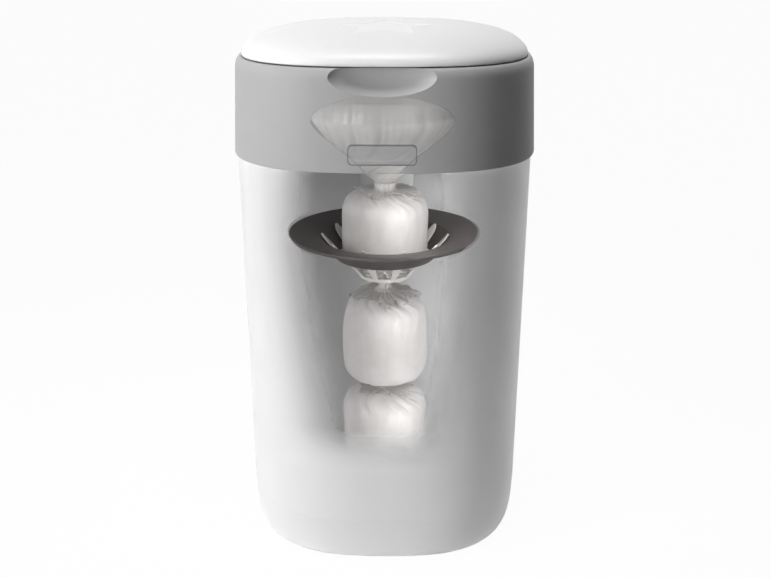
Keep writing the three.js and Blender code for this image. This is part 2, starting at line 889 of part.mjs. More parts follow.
function hangerBracket() {
  const top = deckBottom - restGap;
  const footInner = bracketInner - bracketFoot;
  const footTop = flangeUnder(footInner) - restGap;
  const edgeTop = flangeLevel - flangeEdge - restGap;
  const footBottom = Math.min(footTop, edgeTop) - bracketWall;
  const channel = solidOf(turned([
    [footInner, footBottom],
    [bracketOuter, footBottom],
    [bracketOuter, top - bracketWall],
    [bracketOuter + bracketHead, top - bracketWall],
    [bracketOuter + bracketHead, top],
    [bracketInner, top],
    [bracketInner, edgeTop],
    [flangeRadius - flangeThickness - runGap, edgeTop],
    [flangeRadius - flangeThickness - runGap, footTop],
    [footInner, footTop],
  ], planSegments));
  const reach = (bracketOuter + bracketHead + cutOver) / Math.cos(bracketAngle / 2);
  const wedge = new THREE.Shape();
  wedge.moveTo(0, 0);
  wedge.lineTo(...polar(reach, quarterTurn - bracketAngle / 2));
  wedge.lineTo(...polar(reach, quarterTurn + bracketAngle / 2));
  wedge.closePath();
  const sector = solidOf(prism(wedge, footBottom - cutOver, top + cutOver));
  const holes = bracketScrews.flatMap((angle) => [
    rod(shankHole, footBottom - cutOver, footTop + cutOver)
      .translate(...polar(flangeScrewCircle, angle), 0),
    rod(shankHole, top - bracketWall - cutOver, top + cutOver)
      .translate(...polar(bracketScrewCircle, angle), 0),
  ]);
  return geometryOf(cut(channel.intersect(sector), ...holes));
}

// Strip with four corners at each of its [radius, level, width] sections, laid along +X
function strip(sections) {
  const places = [];
  sections.forEach(([radius, level, width], i) => {
    const [r0, z0] = sections[Math.max(i - 1, 0)];
    const [r1, z1] = sections[Math.min(i + 1, sections.length - 1)];
    const length = Math.hypot(r1 - r0, z1 - z0);
    const across = (z1 - z0) / length * fingerThickness / 2;
    const up = (r1 - r0) / length * fingerThickness / 2;
    for (const [side, face] of [[-1, -1], [1, -1], [1, 1], [-1, 1]]) {
      places.push(radius - face * across, side * width / 2, level + face * up);
    }
  });
  const corners = [];
  for (let i = 0; i + 1 < sections.length; i += 1) {
    for (let k = 0; k < 4; k += 1) {
      const [a, b] = [i * 4 + k, i * 4 + (k + 1) % 4];
      corners.push(a, b, b + 4, a, b + 4, a + 4);
    }
  }
  const end = (sections.length - 1) * 4;
  corners.push(0, 2, 1, 0, 3, 2, end, end + 1, end + 2, end, end + 2, end + 3);
  const geometry = new THREE.BufferGeometry();
  geometry.setAttribute('position', new THREE.Float32BufferAttribute(places, 3));
  geometry.setIndex(corners);
  return geometry;
}

// Shares of the way up the cone, with the finger's width there
const fingerShares = [[0.04, 0.1], [0.35, 0.75], [0.62, 1], [0.86, 0.72]];

function gripperFingers() {
  const bow = fingerBroadWidth ** 2 / (4 * (flangeKnee + flangeThroat));
  const facetBow = flangeKnee * (1 - Math.cos(Math.PI / roundSegments));
  const lift = restGap + bow + facetBow + fingerThickness / 2;
  const inward = lift * coneSlope / coneLength;
  const up = lift / coneLength;
  const onCone = (share) => [
    flangeThroat + (flangeKnee - flangeThroat) * share - inward,
    throatLevel + (kneeLevel - throatLevel) * share + up,
  ];
  const ringMiddle = gripLevel + ringHeight / 2;
  const sections = [
    [ringRadius, ringMiddle, fingerRootWidth],
    [(ringRadius + flangeThroat - inward) / 2, (ringMiddle + throatLevel) / 2, fingerRootWidth],
    ...fingerShares.map(([share, width]) => [
      ...onCone(share), fingerRootWidth + (fingerBroadWidth - fingerRootWidth) * width,
    ]),
    [...onCone(1), fingerTipWidth],
  ];
  const tip = sections[sections.length - 1];
  tip[0] -= fingerTipInset;
  const ring = turned(ringProfile(
    ringRadius - ringWidth / 2, ringRadius + ringWidth / 2, gripLevel, gripLevel + ringHeight,
  ));
  const tongue = () => block(
    [tailRadius + tongueGap, -tongueWidth / 2, ringMiddle - tongueHeight / 2],
    [ringRadius, tongueWidth / 2, ringMiddle + tongueHeight / 2],
  );
  const fingers = circle(fingerCount).flatMap((angle) => [
    strip(sections).rotateZ(angle),
    tongue().rotateZ(angle + Math.PI / fingerCount),
  ]);
  return geometryOf(joined(solidOf(ring), ...fingers));
}

// Bundles, as shares of the radius and of the height from bottom to top
const firstShares = [
  [0.62, 0.012], [0.86, 0.085], [0.97, 0.16], [1, 0.27], [0.99, 0.62], [0.94, 0.76],
  [0.82, 0.87], [0.6, 0.95], [0.32, 0.985],
];
const chainShares = [
  [0.5, 0.02], [0.8, 0.06], [0.95, 0.14], [1, 0.26], [0.99, 0.6], [0.95, 0.76],
  [0.82, 0.88], [0.6, 0.95], [0.32, 0.985],
];
const lastShares = [
  [0.36, 0.01], [0.72, 0.045], [0.93, 0.13], [1, 0.28], [1, 0.6], [0.95, 0.78],
  [0.8, 0.9], [0.56, 0.96], [0.3, 0.99],
];

function bundle(shares, radius, bottom, top) {
  return shares.map(([across, up]) => [radius * across, bottom + (top - bottom) * up]);
}

const swingLevel = gripLevel + ringHeight / 2;
const tailTop = swingLevel + tailRadius + tailGap;

function firstBundle() {
  const bottom = tailTop + firstBottomRise;
  const top = funnelBottom - firstNeckDrop;
  return turned([
    [0, tailTop],
    [tailRadius, tailTop],
    [tailRadius * tailFlare, bottom],
    ...bundle(firstShares, firstRadius, bottom, top),
    [funnelNeck, top],
    [funnelNeck, funnelBottom - restGap],
    [0, funnelBottom - restGap],
  ], bundleSegments);
}

const chainFloor = standRingHeight + tubFloor + chainClearance;
const chainTop = gripLevel - chainNeckLength;
const chainSplit = chainTop - (chainTop - chainFloor) * chainSplitShare;

function secondBundle() {
  const ball = Array.from({ length: ballSteps + 1 }, (_, i) => {
    const turn = quarterTurn * i / ballSteps;
    const across = i === ballSteps ? 0 : tailRadius * Math.cos(turn);
    return [across, swingLevel + tailRadius * Math.sin(turn)];
  });
  return turned([
    [0, chainSplit],
    [tailRadius, chainSplit],
    ...bundle(chainShares, chainRadius, chainSplit + linkLength, chainTop),
    [tailRadius, chainTop],
    ...ball,
  ], bundleSegments);
}

function thirdBundle() {
  const top = chainSplit - restGap;
  return turned([
    [0, chainFloor],
    ...bundle(lastShares, lastRadius, chainFloor, top - linkLength),
    [tailRadius, top - linkLength],
    [tailRadius, top],
    [0, top],
  ], bundleSegments);
}

// Click pawl

function clickPawl() {
  const tip = polar(toothRootRadius + pawlTipLift + pawlTipRadius, pawlTipAngle);
  const along = new THREE.Vector2(tip[0] - pawlPivot[0], tip[1] - pawlPivot[1]);
  const length = along.length();
  const top = retainerBottom - pawlTopGap;
  const bottom = deckTop + restGap;
  const arm = new THREE.Shape();
  arm.moveTo(0, -pawlEyeRadius);
  arm.lineTo(length, -pawlTipRadius);
  arm.absarc(length, 0, pawlTipRadius, -quarterTurn, quarterTurn);
  arm.lineTo(0, pawlEyeRadius);
  arm.absarc(0, 0, pawlEyeRadius, quarterTurn, 3 * quarterTurn);
  const body = cut(
    solidOf(prism(arm, bottom, top, 5)),
    rod(pawlPinRadius + restGap, bottom - cutOver, top + cutOver),
  );
  return geometryOf(body).rotateZ(along.angle()).translate(pawlPivot[0], pawlPivot[1], 0);
}

function pawlPin() {
  const seat = retainerBottom - pawlTopGap + restGap;
  return turned([
    [0, deckBottom + restGap],
    [pawlPinRadius, deckBottom + restGap],
    [pawlPinRadius, seat],
    [pawlPinHead, seat],
    [pawlPinHead, seat + pawlPinHeadHeight],
    [0, seat + pawlPinHeadHeight],
  ], smallSegments);
}

// Film cutter, on the inner face of the bracket

const cutterBack = Math.sqrt(bracketInner ** 2 - (cutterWidth / 2) ** 2) - restGap;
const cutterFront = cutterBack - cutterDepth;
const cutterMiddle = deckBottom - cutterDrop;
const bladeBack = cutterFront + cutterSlotDepth;

function cutterHousing() {
  const low = cutterMiddle - cutterHeight / 2;
  const high = cutterMiddle + cutterHeight / 2;
  const slot = cutterSlotHeight / 2;
  const flare = slot + cutterMouthFlare;
  const side = new THREE.Shape();
  side.moveTo(cutterBack, low);
  side.lineTo(cutterBack, high);
  side.lineTo(cutterFront + cutterMouthFlare, high);
  side.lineTo(cutterFront, high - cutterMouthFlare);
  side.lineTo(cutterFront, cutterMiddle + flare);
  side.lineTo(cutterFront + cutterMouthFlare, cutterMiddle + slot);
  side.lineTo(bladeBack, cutterMiddle + slot);
  side.lineTo(bladeBack, cutterMiddle - slot);
  side.lineTo(cutterFront + cutterMouthFlare, cutterMiddle - slot);
  side.lineTo(cutterFront, cutterMiddle - flare);
  side.lineTo(cutterFront, low + cutterMouthFlare);
  side.lineTo(cutterFront + cutterMouthFlare, low);
  side.closePath();
  const body = prism(side, -cutterWidth / 2, cutterWidth / 2);
  body.applyMatrix4(new THREE.Matrix4().set(
    0, 0, 1, 0,
    1, 0, 0, 0,
    0, 1, 0, 0,
    0, 0, 0, 1,
  ));
  return geometryOf(cut(solidOf(body), blade(restGap)));
}

function blade(grow) {
  return block(
    [-bladeThickness / 2 - grow, bladeBack - bladeDepth - grow, cutterMiddle - bladeHeight / 2 - grow],
    [bladeThickness / 2 + grow, bladeBack + grow, cutterMiddle + bladeHeight / 2 + grow],
  );
}

// Screws, head up, with the seat of the head at height zero

function screw(length) {
  return turned([
    [0, -length],
    [screwShank, -length],
    [screwShank, 0],
    [screwHead, 0],
    [screwHead, screwHeadHeight * screwHeadDomeShare],
    [screwHead * screwHeadDomeShare, screwHeadHeight],
    [0, screwHeadHeight],
  ], screwSegments);
}

// Assembly

function mesh(name, geometry, material) {
  const piece = new THREE.Mesh(geometry, material);
  piece.name = name;
  return piece;
}

function screws(name, places, seat, length, fromBelow = false) {
  return places.map(([x, y], i) => {
    const piece = mesh(`${name}_${i + 1}`, screw(length), steel);
    piece.position.set(x, y, seat);
    if (fromBelow) piece.rotation.x = Math.PI;
    return piece;
  });
}

function group(...pieces) {
  return new THREE.Group().add(...pieces);
}

const tub = group(mesh('tub_shell', tubShell(), tubPlastic));

const hingePins = hingeSides.map((x, i) => {
  const pin = mesh(i === 0 ? 'hinge_pin_left' : 'hinge_pin_right', hingePin(), steel);
  pin.position.set(x, hingeY, hingeZ);
  return pin;
});

const pivotPin = mesh('pawl_pin', pawlPin(), steel);
pivotPin.position.set(pawlPivot[0], pawlPivot[1], 0);

const bracketUnder = deckBottom - restGap - bracketWall - restGap;
const flangeSeat = flangeTopAt(flangeScrewCircle + screwHead) + restGap;
const topSection = group(
  mesh('collar', collar(), greyPlastic),
  mesh('name_plate', namePlate(), greyPlastic),
  mesh('inner_deck', innerDeck(), whitePlastic),
  mesh('dial_retainer', dialRetainer(), whitePlastic),
  ...screws(
    'deck_screw', diagonals.map((angle) => polar(deckScrewCircle, angle)),
    deckTop + restGap, screwGrip,
  ),
  ...screws('retainer_screw', postPlaces, retainerTop + restGap, screwGrip),
  mesh('hanger_bracket', hangerBracket(), tubPlastic),
  ...screws(
    'bracket_screw', bracketScrews.map((angle) => polar(bracketScrewCircle, angle)),
    bracketUnder, bracketWall + restGap * 2 + deckThickness, true,
  ),
  ...screws(
    'flange_screw', bracketScrews.map((angle) => polar(flangeScrewCircle, angle)),
    flangeSeat, screwGrip,
  ),
  mesh('holder_flange', holderFlange(), darkPlastic),
  mesh('gripper_fingers', gripperFingers(), fingerPlastic),
  mesh('cutter_housing', cutterHousing(), whitePlastic),
  mesh('cutter_blade', blade(0), steel),
  pivotPin,
  ...hingePins,
  mesh('wrapped_bundle_1', firstBundle(), wrap),
);

const pawl = group(mesh('click_pawl', clickPawl(), acetal));

const dial = group(
  mesh('twist_ring', twistRing(), dialPlastic),
  mesh('cassette_body', cassetteBody(), whitePlastic),
  mesh('cassette_cover', cassetteCover(), whitePlastic),
  mesh('film_pack', filmPack(), film),
  mesh('film_funnel', filmFunnel(), film),
);

const chain = group(
  mesh('wrapped_bundle_2', secondBundle(), wrap),
  mesh('wrapped_bundle_3', thirdBundle(), wrap),
);

const lid = group(
  mesh('lid_shell', lidShell(), whitePlastic),
  mesh('lid_liner', lidLiner(), whitePlastic),
  mesh('lid_seal', lidSeal(), rubber),
  ...screws(
    'liner_screw', diagonals.map((angle) => polar(linerScrewCircle, angle)),
    linerBottom - restGap, screwGrip, true,
  ),
);

export default group(tub, topSection, pawl, dial, chain, lid);
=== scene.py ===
import math

import bpy
import numpy as np
from mathutils import Matrix, Vector, noise


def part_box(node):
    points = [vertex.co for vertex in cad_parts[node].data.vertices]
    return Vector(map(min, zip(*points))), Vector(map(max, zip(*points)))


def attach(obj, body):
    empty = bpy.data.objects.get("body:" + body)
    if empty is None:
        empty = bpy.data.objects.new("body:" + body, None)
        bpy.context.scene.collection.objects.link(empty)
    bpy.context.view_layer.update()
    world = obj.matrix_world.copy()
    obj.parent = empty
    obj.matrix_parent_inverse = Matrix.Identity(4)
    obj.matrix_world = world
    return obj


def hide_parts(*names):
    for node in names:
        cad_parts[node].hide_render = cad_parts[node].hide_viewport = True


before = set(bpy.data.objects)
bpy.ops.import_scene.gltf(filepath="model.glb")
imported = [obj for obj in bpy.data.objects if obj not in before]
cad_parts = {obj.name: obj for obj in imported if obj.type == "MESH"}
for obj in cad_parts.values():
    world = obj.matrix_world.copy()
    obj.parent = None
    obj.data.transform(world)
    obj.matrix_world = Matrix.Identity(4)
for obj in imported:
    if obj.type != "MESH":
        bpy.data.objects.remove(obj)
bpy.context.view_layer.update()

# The looks of a nappy bin: a white tub, a grey collar, a domed lid, and the twist film works inside.
# The front of the tub and of the collar fades away in places, to show the film and the wrapped nappies.
# Lengths are millimetres here and become metres when a mesh is made. +Z is up and the front faces -Y.

MM = 0.001
TURN = 2 * math.pi
QUARTER = TURN / 4
EIGHTH = TURN / 8


# Reading the frame

def span(node):
    """Lowest and highest corner of a CAD node, in millimetres."""
    low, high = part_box(node)
    return np.array(low) / MM, np.array(high) / MM


def level(node, side):
    """Height of a CAD node's bottom (side 0) or top (side 1)."""
    return float(span(node)[side][2])


def reach(node):
    """Largest distance of a CAD node from the axis along X or Y."""
    low, high = span(node)
    return float(max(-low[0], high[0], -low[1], high[1]))


# Sizes that several pieces share

PLAN_EXPONENT = 2.77
PLAN_STEPS = 192
ROUND_STEPS = 144
REST_GAP = 0.3
RUN_GAP = 0.5
CUT_OVER = 2.0
HOLE_RADIUS = 1.8
# Fillets, from the finest to the broadest
TRACE, THIN, SMALL, EDGE, FIRM, ROUND, BROAD = 0.3, 0.4, 0.5, 0.6, 0.8, 1.0, 1.5

TUB_HALF = 122.5
TUB_HEIGHT = 343.6
TUB_FOOT_HALF = 119.2
TUB_FOOT_HEIGHT = 42.2
TUB_FOOT_ROLL = 15.9
TUB_ROLL_EXPONENT = 2.6
TUB_WALL = 2.5
TUB_FLOOR_TOP = 5.0
STAND_HEIGHT = 2.0
STAND_WIDTH = 9.0
CREASE_DEPTH, CREASE_BELOW, CREASE_ABOVE = 0.45, 0.8, 0.2
RIM_GAP = 0.6
RIM_TOP = level("tub_shell", 1)

COLLAR_HALF = reach("collar")
COLLAR_TOP = TUB_HEIGHT + 76.8
COLLAR_WALL = 2.5
SHOULDER_RISE = 9.4
SHOULDER_LEAN = 3.0
SHOULDER_ROLL = 4.6
SHOULDER_LEVEL = COLLAR_TOP - SHOULDER_RISE
SHOULDER_HALF = COLLAR_HALF - SHOULDER_LEAN
COLLAR_TOP_HALF = SHOULDER_HALF - SHOULDER_ROLL
COLLAR_SLOPE = SHOULDER_LEAN / (SHOULDER_LEVEL - TUB_HEIGHT)
LIP_HALF = COLLAR_TOP_HALF - 10.4
LIP_WALL = 2.2
LIP_BOTTOM = COLLAR_TOP - 10.5
LEDGE_BOTTOM = RIM_TOP + REST_GAP
LEDGE_TOP = LEDGE_BOTTOM + COLLAR_WALL
LEDGE_WIDTH = 4.0

SCOOP = (41.0, 11.0, 14.4)
SCOOP_LEVEL = COLLAR_TOP - 5.4
SCOOP_WALL = 2.2

PLATE_LOW, PLATE_HIGH = TUB_HEIGHT + 6.7, TUB_HEIGHT + 21.1
PLATE_HALF = 50.9 / 2
PLATE_CORNER = 3.0
PLATE_CORNER_STEPS = 8
PLATE_SINK = 0.8
PLATE_PROUD = 0.2

LID_BOTTOM = COLLAR_TOP + 1.0
LID_HALF = COLLAR_TOP_HALF - 0.6
LID_WALL = 2.4
LID_EDGE = 0.8
DOME_RISE = level("lid_shell", 1) - LID_BOTTOM
DOME_TOP = LID_BOTTOM + DOME_RISE
DOME_EXPONENT = 2.3
STAR_RADIUS = 41.0
STAR_WAIST = 0.5
STAR_TIP = 0.16
STAR_TIP_STEPS = 6
STAR_DEPTH = 0.25
STAR_FORWARD = 38.0

HINGE_SIDES = (-28.0, 28.0)
HINGE_Y = LID_HALF + 1.2
HINGE_Z = COLLAR_TOP - 0.2
KNUCKLE_RADIUS = 3.8
KNUCKLE_WIDTH = 12.0
WEB_DEPTH = 3.4
POCKET_WALL = 2.0
EAR_WIDTH = 6.5
EAR_OFFSET = KNUCKLE_WIDTH / 2 + RUN_GAP + EAR_WIDTH / 2
PIN_RADIUS = 1.6
PIN_LENGTH = KNUCKLE_WIDTH + 2 * (RUN_GAP + EAR_WIDTH)

DECK_TOP = level("cassette_body", 0) - RUN_GAP
DECK_BOTTOM = DECK_TOP - 3.0
DECK_MOUTH = 69.0
SHELF_TOP = DECK_BOTTOM - REST_GAP
SHELF_BOTTOM = SHELF_TOP - 3.0
SHELF_WIDTH = 9.0
RETAINER_BOTTOM = level("dial_retainer", 0)
RETAINER_TOP = level("dial_retainer", 1)
RETAINER_REACH = 1.0
DIAL_TOP = level("twist_ring", 1)
CASSETTE_BOTTOM = level("cassette_body", 0)
CASSETTE_TOP = CASSETTE_BOTTOM + 19.2
CASSETTE_MOUTH = 64.2
CASSETTE_OUTER = 88.9
CASSETTE_WALL = 2.2
GUIDE_TOP = CASSETTE_TOP + 1.0
SLOT_INNER = CASSETTE_MOUTH + CASSETTE_WALL
DIAL_MOUTH = CASSETTE_OUTER + RUN_GAP
HUB_OUTER = DIAL_MOUTH + 2.4
HUB_TOP = DECK_TOP + 5.2
HUB_SINK = 1.0
SKIRT_INNER = HUB_OUTER + RUN_GAP
SKIRT_OUTER = SKIRT_INNER + 2.5
TOOTH_ROOT = SKIRT_OUTER + 4.1
TOOTH_TIP = TOOTH_ROOT + 2.5
DIAL_OUTER = LIP_HALF - 2.5
POST_RADIUS = 3.5
POST_CIRCLE = TOOTH_TIP + REST_GAP + POST_RADIUS + 1.0
POST_FIRST = TURN / 16

FUNNEL_TOP = level("film_funnel", 1)
FUNNEL_BOTTOM = level("film_funnel", 0)
FUNNEL_RIM = DECK_BOTTOM - 35.5
FUNNEL_RADIUS = CASSETTE_MOUTH - REST_GAP
NECK_RADIUS = 9.4

FLANGE_LEVEL = level("holder_flange", 1)
FLANGE_RADIUS = 84.8
FLANGE_LIP = 3.4
FLANGE_KNEE = 58.1
KNEE_DROP = 5.0
KNEE_LEVEL = FLANGE_LEVEL - KNEE_DROP
FLANGE_THROAT = 27.0
FLANGE_CONE_SHARE = 0.52
THROAT_LEVEL = FLANGE_LEVEL - 38.7
FLANGE_THICK = 2.2
CONE_SLOPE = (KNEE_LEVEL - THROAT_LEVEL) / (FLANGE_KNEE - FLANGE_THROAT)
CONE_LENGTH = math.hypot(1, CONE_SLOPE)
RIM_SLOPE = KNEE_DROP / (FLANGE_RADIUS - FLANGE_KNEE)
GRIP_LEVEL = level("gripper_fingers", 0)
GRIP_HEIGHT = 3.4
GRIP_MIDDLE = GRIP_LEVEL + GRIP_HEIGHT / 2
BRACKET_INNER = FLANGE_RADIUS + RUN_GAP
BRACKET_WALL = 2.5
BRACKET_TAB = 10.0
FLANGE_SCREW_CIRCLE = BRACKET_INNER - 5.5
SCREW_PAIR = math.radians(18)


# Camera and lights

scene = bpy.context.scene
CAMERA_DISTANCE = 0.9
CAMERA_HEIGHT = 0.523
CAMERA_AZIMUTH = math.radians(1.0)
CAMERA_PITCH = math.radians(19.23)
CAMERA_LENS = 49.47
CAMERA_SENSOR = 36
# Panels: name, place, aim and size in metres, watts and spread in degrees
PANELS = (
    ("key_left", (-1.36, -0.99, 0.66), (0, 0, 0.22), (0.8, 0.9), 27, 180),
    ("soft_top", (0, -0.1, 1.6), (0, 0, 0.4), (0.5, 0.5), 1.15, 50),
    ("strip_right", (0.075, -0.05, 0.2), (0.075, 0.11, 0.2), (0.02, 0.28), 0.045, 110),
)
# Small lamps inside the bin, at the front right: name, CAD node that it lights, rise above it, watts
SPOTS = (
    ("spot_funnel", "film_funnel", 0.0, 0.045),
    ("spot_bundle_1", "wrapped_bundle_1", 30.0, 0.2),
    ("spot_bundle_2", "wrapped_bundle_2", 14.0, 0.15),
    ("spot_bundle_3", "wrapped_bundle_3", 22.0, 0.165),
)
SPOT_PLACE = (50.0, -98.0)
SPOT_CONE = math.radians(100.0)
SPOT_BLEND = 0.6
SPOT_RADIUS = 18.0


def lamp(name, kind, place, aim, power, **settings):
    """A lamp at a place that points at another. The camera doesn't see it."""
    data = bpy.data.lights.new(name, kind)
    data.energy = power
    for key, value in settings.items():
        setattr(data, key, value)
    made = bpy.data.objects.new(name, data)
    made.visible_camera = False
    made.location = place
    made.rotation_euler = (Vector(aim) - Vector(place)).to_track_quat("-Z", "Y").to_euler()
    scene.collection.objects.link(made)


def make_lamps():
    for name, place, aim, (width, height), power, spread in PANELS:
        lamp(name, "AREA", place, aim, power,
             shape="RECTANGLE", size=width, size_y=height, spread=math.radians(spread))
    for name, node, rise, power in SPOTS:
        middle = (level(node, 0) + level(node, 1)) / 2
        place = np.array((*SPOT_PLACE, middle + rise)) * MM
        lamp(name, "SPOT", place, (0, 0, middle * MM), power,
             shadow_soft_size=SPOT_RADIUS * MM, spot_size=SPOT_CONE, spot_blend=SPOT_BLEND)


def make_camera():
    data = bpy.data.cameras.new("camera")
    data.lens = CAMERA_LENS
    data.sensor_width = CAMERA_SENSOR
    camera = bpy.data.objects.new("camera", data)
    camera.location = (
        CAMERA_DISTANCE * math.sin(CAMERA_AZIMUTH),
        -CAMERA_DISTANCE * math.cos(CAMERA_AZIMUTH),
        CAMERA_HEIGHT,
    )
    camera.rotation_euler = (QUARTER - CAMERA_PITCH, 0, CAMERA_AZIMUTH)
    scene.collection.objects.link(camera)
    scene.camera = camera


make_camera()
scene.view_settings.view_transform = "Standard"
make_lamps()


# Nodes and colours

MATH = "ShaderNodeMath"
VECTORS = "ShaderNodeVectorMath"
RANGE = "ShaderNodeMapRange"
WHITE = (1, 1, 1, 1)
WORLD_GLOW = 0.015
CARD_GLOW = 0.97


def srgb(code):
    """sRGB hex text to linear RGBA."""
    shades = [int(code[i:i + 2], 16) / 255 for i in (1, 3, 5)]
    linear = [s / 12.92 if s <= 0.04045 else ((s + 0.055) / 1.055) ** 2.4 for s in shades]
    return (*linear, 1.0)


def add(tree, kind, inputs=None, **settings):
    """Adds a node, sets it up, then sets or links its inputs. A node as an input means its first output."""
    made = tree.nodes.new(kind)
    for key, value in settings.items():
        setattr(made, key, value)
    for key, value in (inputs or {}).items():
        if isinstance(value, bpy.types.Node):
            value = value.outputs[0]
        if isinstance(value, bpy.types.NodeSocket):
            tree.links.new(value, made.inputs[key])
        else:
            made.inputs[key].default_value = value
    return made


def seen_plainly(tree):
    """1 on rays that show a thing: from the camera, off a gloss, or through a clear surface."""
    path = add(tree, "ShaderNodeLightPath").outputs
    seen = add(tree, MATH, {0: path["Is Camera Ray"], 1: path["Is Glossy Ray"]}, operation="MAXIMUM")
    return add(tree, MATH, {0: seen, 1: path["Is Transmission Ray"]}, operation="MAXIMUM")


def background():
    """White where it is seen, and a dim grey as a lamp."""
    world = bpy.data.worlds.new("studio")
    scene.world = world
    world.use_nodes = True
    tree = world.node_tree
    tree.nodes.clear()
    dim = add(tree, "ShaderNodeBackground", {"Color": WHITE, "Strength": WORLD_GLOW})
    white = add(tree, "ShaderNodeBackground", {"Color": WHITE, "Strength": 1.0})
    mixed = add(tree, "ShaderNodeMixShader", {0: seen_plainly(tree), 1: dim, 2: white})
    add(tree, "ShaderNodeOutputWorld", {"Surface": mixed})


def empty_material(name):
    material = bpy.data.materials.new(name)
    material.use_nodes = True
    material.node_tree.nodes.clear()
    return material, material.node_tree


def floor_paint():
    """Matt white card that keeps a light shadow and otherwise reads as plain white."""
    material, tree = empty_material("white_card_matt")
    share = add(tree, MATH, {0: seen_plainly(tree), 1: CARD_GLOW}, operation="MULTIPLY")
    card = add(tree, "ShaderNodeBsdfDiffuse", {"Color": srgb("#f6f6f6")})
    glow = add(tree, "ShaderNodeEmission", {"Color": WHITE, "Strength": 1.0})
    mixed = add(tree, "ShaderNodeMixShader", {0: share, 1: card, 2: glow})
    add(tree, "ShaderNodeOutputMaterial", {"Surface": mixed})
    return material


# Materials

PLASTIC_IOR = 1.5
FLOW_STRETCH = (1, 1, 0.35)
FILM_STRETCH = (1, 1, 0.22)
WRAP_STRETCH = (1, 1, 0.3)
ALPHA_SWING = 0.12


def surface(name, color, roughness, **sockets):
    """Named material with one Principled surface, whose own values are set on its sockets."""
    material, tree = empty_material(name)
    shader = add(tree, "ShaderNodeBsdfPrincipled", {
        "Base Color": srgb(color), "Roughness": roughness, "IOR": PLASTIC_IOR, **sockets,
    })
    add(tree, "ShaderNodeOutputMaterial", {"Surface": shader})
    return material, tree, shader


def milky(weight, depth_mm):
    """Sockets of a surface that light enters, as deep as depth_mm."""
    return {"Subsurface Weight": weight, "Subsurface Scale": depth_mm * MM, "Subsurface Radius": (1, 1, 1)}


def noise_of(tree, size_mm, detail=3.0, stretch=(1, 1, 1)):
    """Noise whose features are about size_mm across, read from Object coordinates."""
    place = add(tree, "ShaderNodeTexCoord").outputs["Object"]
    scaled = add(tree, "ShaderNodeMapping", {"Vector": place, "Scale": stretch})
    return add(tree, "ShaderNodeTexNoise", {"Vector": scaled, "Scale": 1 / (size_mm * MM), "Detail": detail})


def vary(tree, shader, share, tones=None, relief=None, **swings):
    """Lets a surface change with a share: from one tone to another, in relief, and in values of its sockets.

    relief is a strength and a depth in mm. swings are a socket's lowest and highest value.
    """
    if tones:
        tone = add(tree, "ShaderNodeMix", {"Factor": share, 6: tones[0], 7: tones[1]}, data_type="RGBA")
        tree.links.new(tone.outputs[2], shader.inputs["Base Color"])
    if relief:
        strength, depth = relief
        bump = add(tree, "ShaderNodeBump", {"Height": share, "Strength": strength, "Distance": depth * MM})
        tree.links.new(bump.outputs[0], shader.inputs["Normal"])
    for socket, (low, high) in swings.items():
        value = add(tree, RANGE, {"Value": share, 3: low, 4: high})
        tree.links.new(value.outputs[0], shader.inputs[socket])


def moulded(name, color, shade, roughness, grain_mm, grain_depth, flow_mm=60, gloss_swing=0.06, **sockets):
    """Moulded plastic: a fine tool grain, slow flow marks in its colour, and gloss that varies a little."""
    material, tree, shader = surface(name, color, roughness, **sockets)
    vary(tree, shader, noise_of(tree, flow_mm, stretch=FLOW_STRETCH), (srgb(color), srgb(shade)),
         Roughness=(roughness - gloss_swing, roughness + gloss_swing))
    vary(tree, shader, noise_of(tree, grain_mm), relief=(1.0, grain_depth))
    return material, tree, shader


# Where the front fades, in millimetres on the front wall

WINDOW_ENDS, WINDOW_END_SOFT, WINDOW_SIDE_SOFT = (110, 352), (44, 4), (80, 50)
WINDOW_LEFT = ((110, 56), (165, 68), (215, 77), (262, 84), (300, 86), (335, 85), (352, 84))
WINDOW_RIGHT = ((110, 42), (165, 52), (215, 58), (262, 60), (300, 60), (335, 58), (352, 56))
FLANGE_SIGHT, FLANGE_SIGHT_HALF, FLANGE_SIGHT_SOFT = 294.0, (72.8, 25.5), 0.06
ENTRY_END, ENTRY_SOFT, TUB_ENTRY = -10.0, 100.0, 0.6
VEIL_ENDS, VEIL_END_SOFT, VEIL_SIDE_SOFT = (343.6, 402.8), (0.5, 1), (3, 3)
VEIL_LEFT = ((343.6, 12), (350, 18.5), (356, 24), (362, 32.5), (370, 43.5),
             (378, 52.5), (384, 54.5), (391, 48.5), (397, 35), (402.8, 6))
VEIL_RIGHT = ((343.6, 12.5), (350, 19.5), (356, 25.5), (362, 34), (370, 45.5),
              (378, 53.5), (384, 55), (391, 49), (397, 35), (402.8, 6))
VEIL_MOST, VEIL_SKIN, VEIL_SCOOP_GAP, VEIL_SCOOP_SOFT = 0.6, 1.0, 1.5, 0.001
# Painted shade in the thin gap round the name plate: how much less it fades, and its half width
RING_SHADE, RING_HALF = 0.7, 0.4
DECK_FADE_SIDE, DECK_FADE_FRONT, DECK_FADE_SOFT = 60.0, -66.0, -4.0


def axes_mm(tree):
    place = add(tree, "ShaderNodeTexCoord").outputs["Object"]
    scaled = add(tree, VECTORS, {0: place, 1: (1 / MM,) * 3}, operation="MULTIPLY")
    return add(tree, "ShaderNodeSeparateXYZ", {0: scaled}).outputs


def width_ramp(tree, height, ends, widths):
    """Half width at a height. widths are (level, half width) pairs."""
    low, high = ends
    share = add(tree, RANGE, {"Value": height, 1: low, 2: high})
    ramp = add(tree, "ShaderNodeValToRGB", {0: share})
    ramp.color_ramp.interpolation = "B_SPLINE"
    stops = ramp.color_ramp.elements
    largest = max(width for _, width in widths)
    while len(stops) < len(widths):
        stops.new(0.5)
    for stop, (at, width) in zip(stops, widths):
        stop.position = (at - low) / (high - low)
        stop.color = (*[width / largest] * 3, 1)
    return add(tree, MATH, {0: ramp, 1: largest}, operation="MULTIPLY")


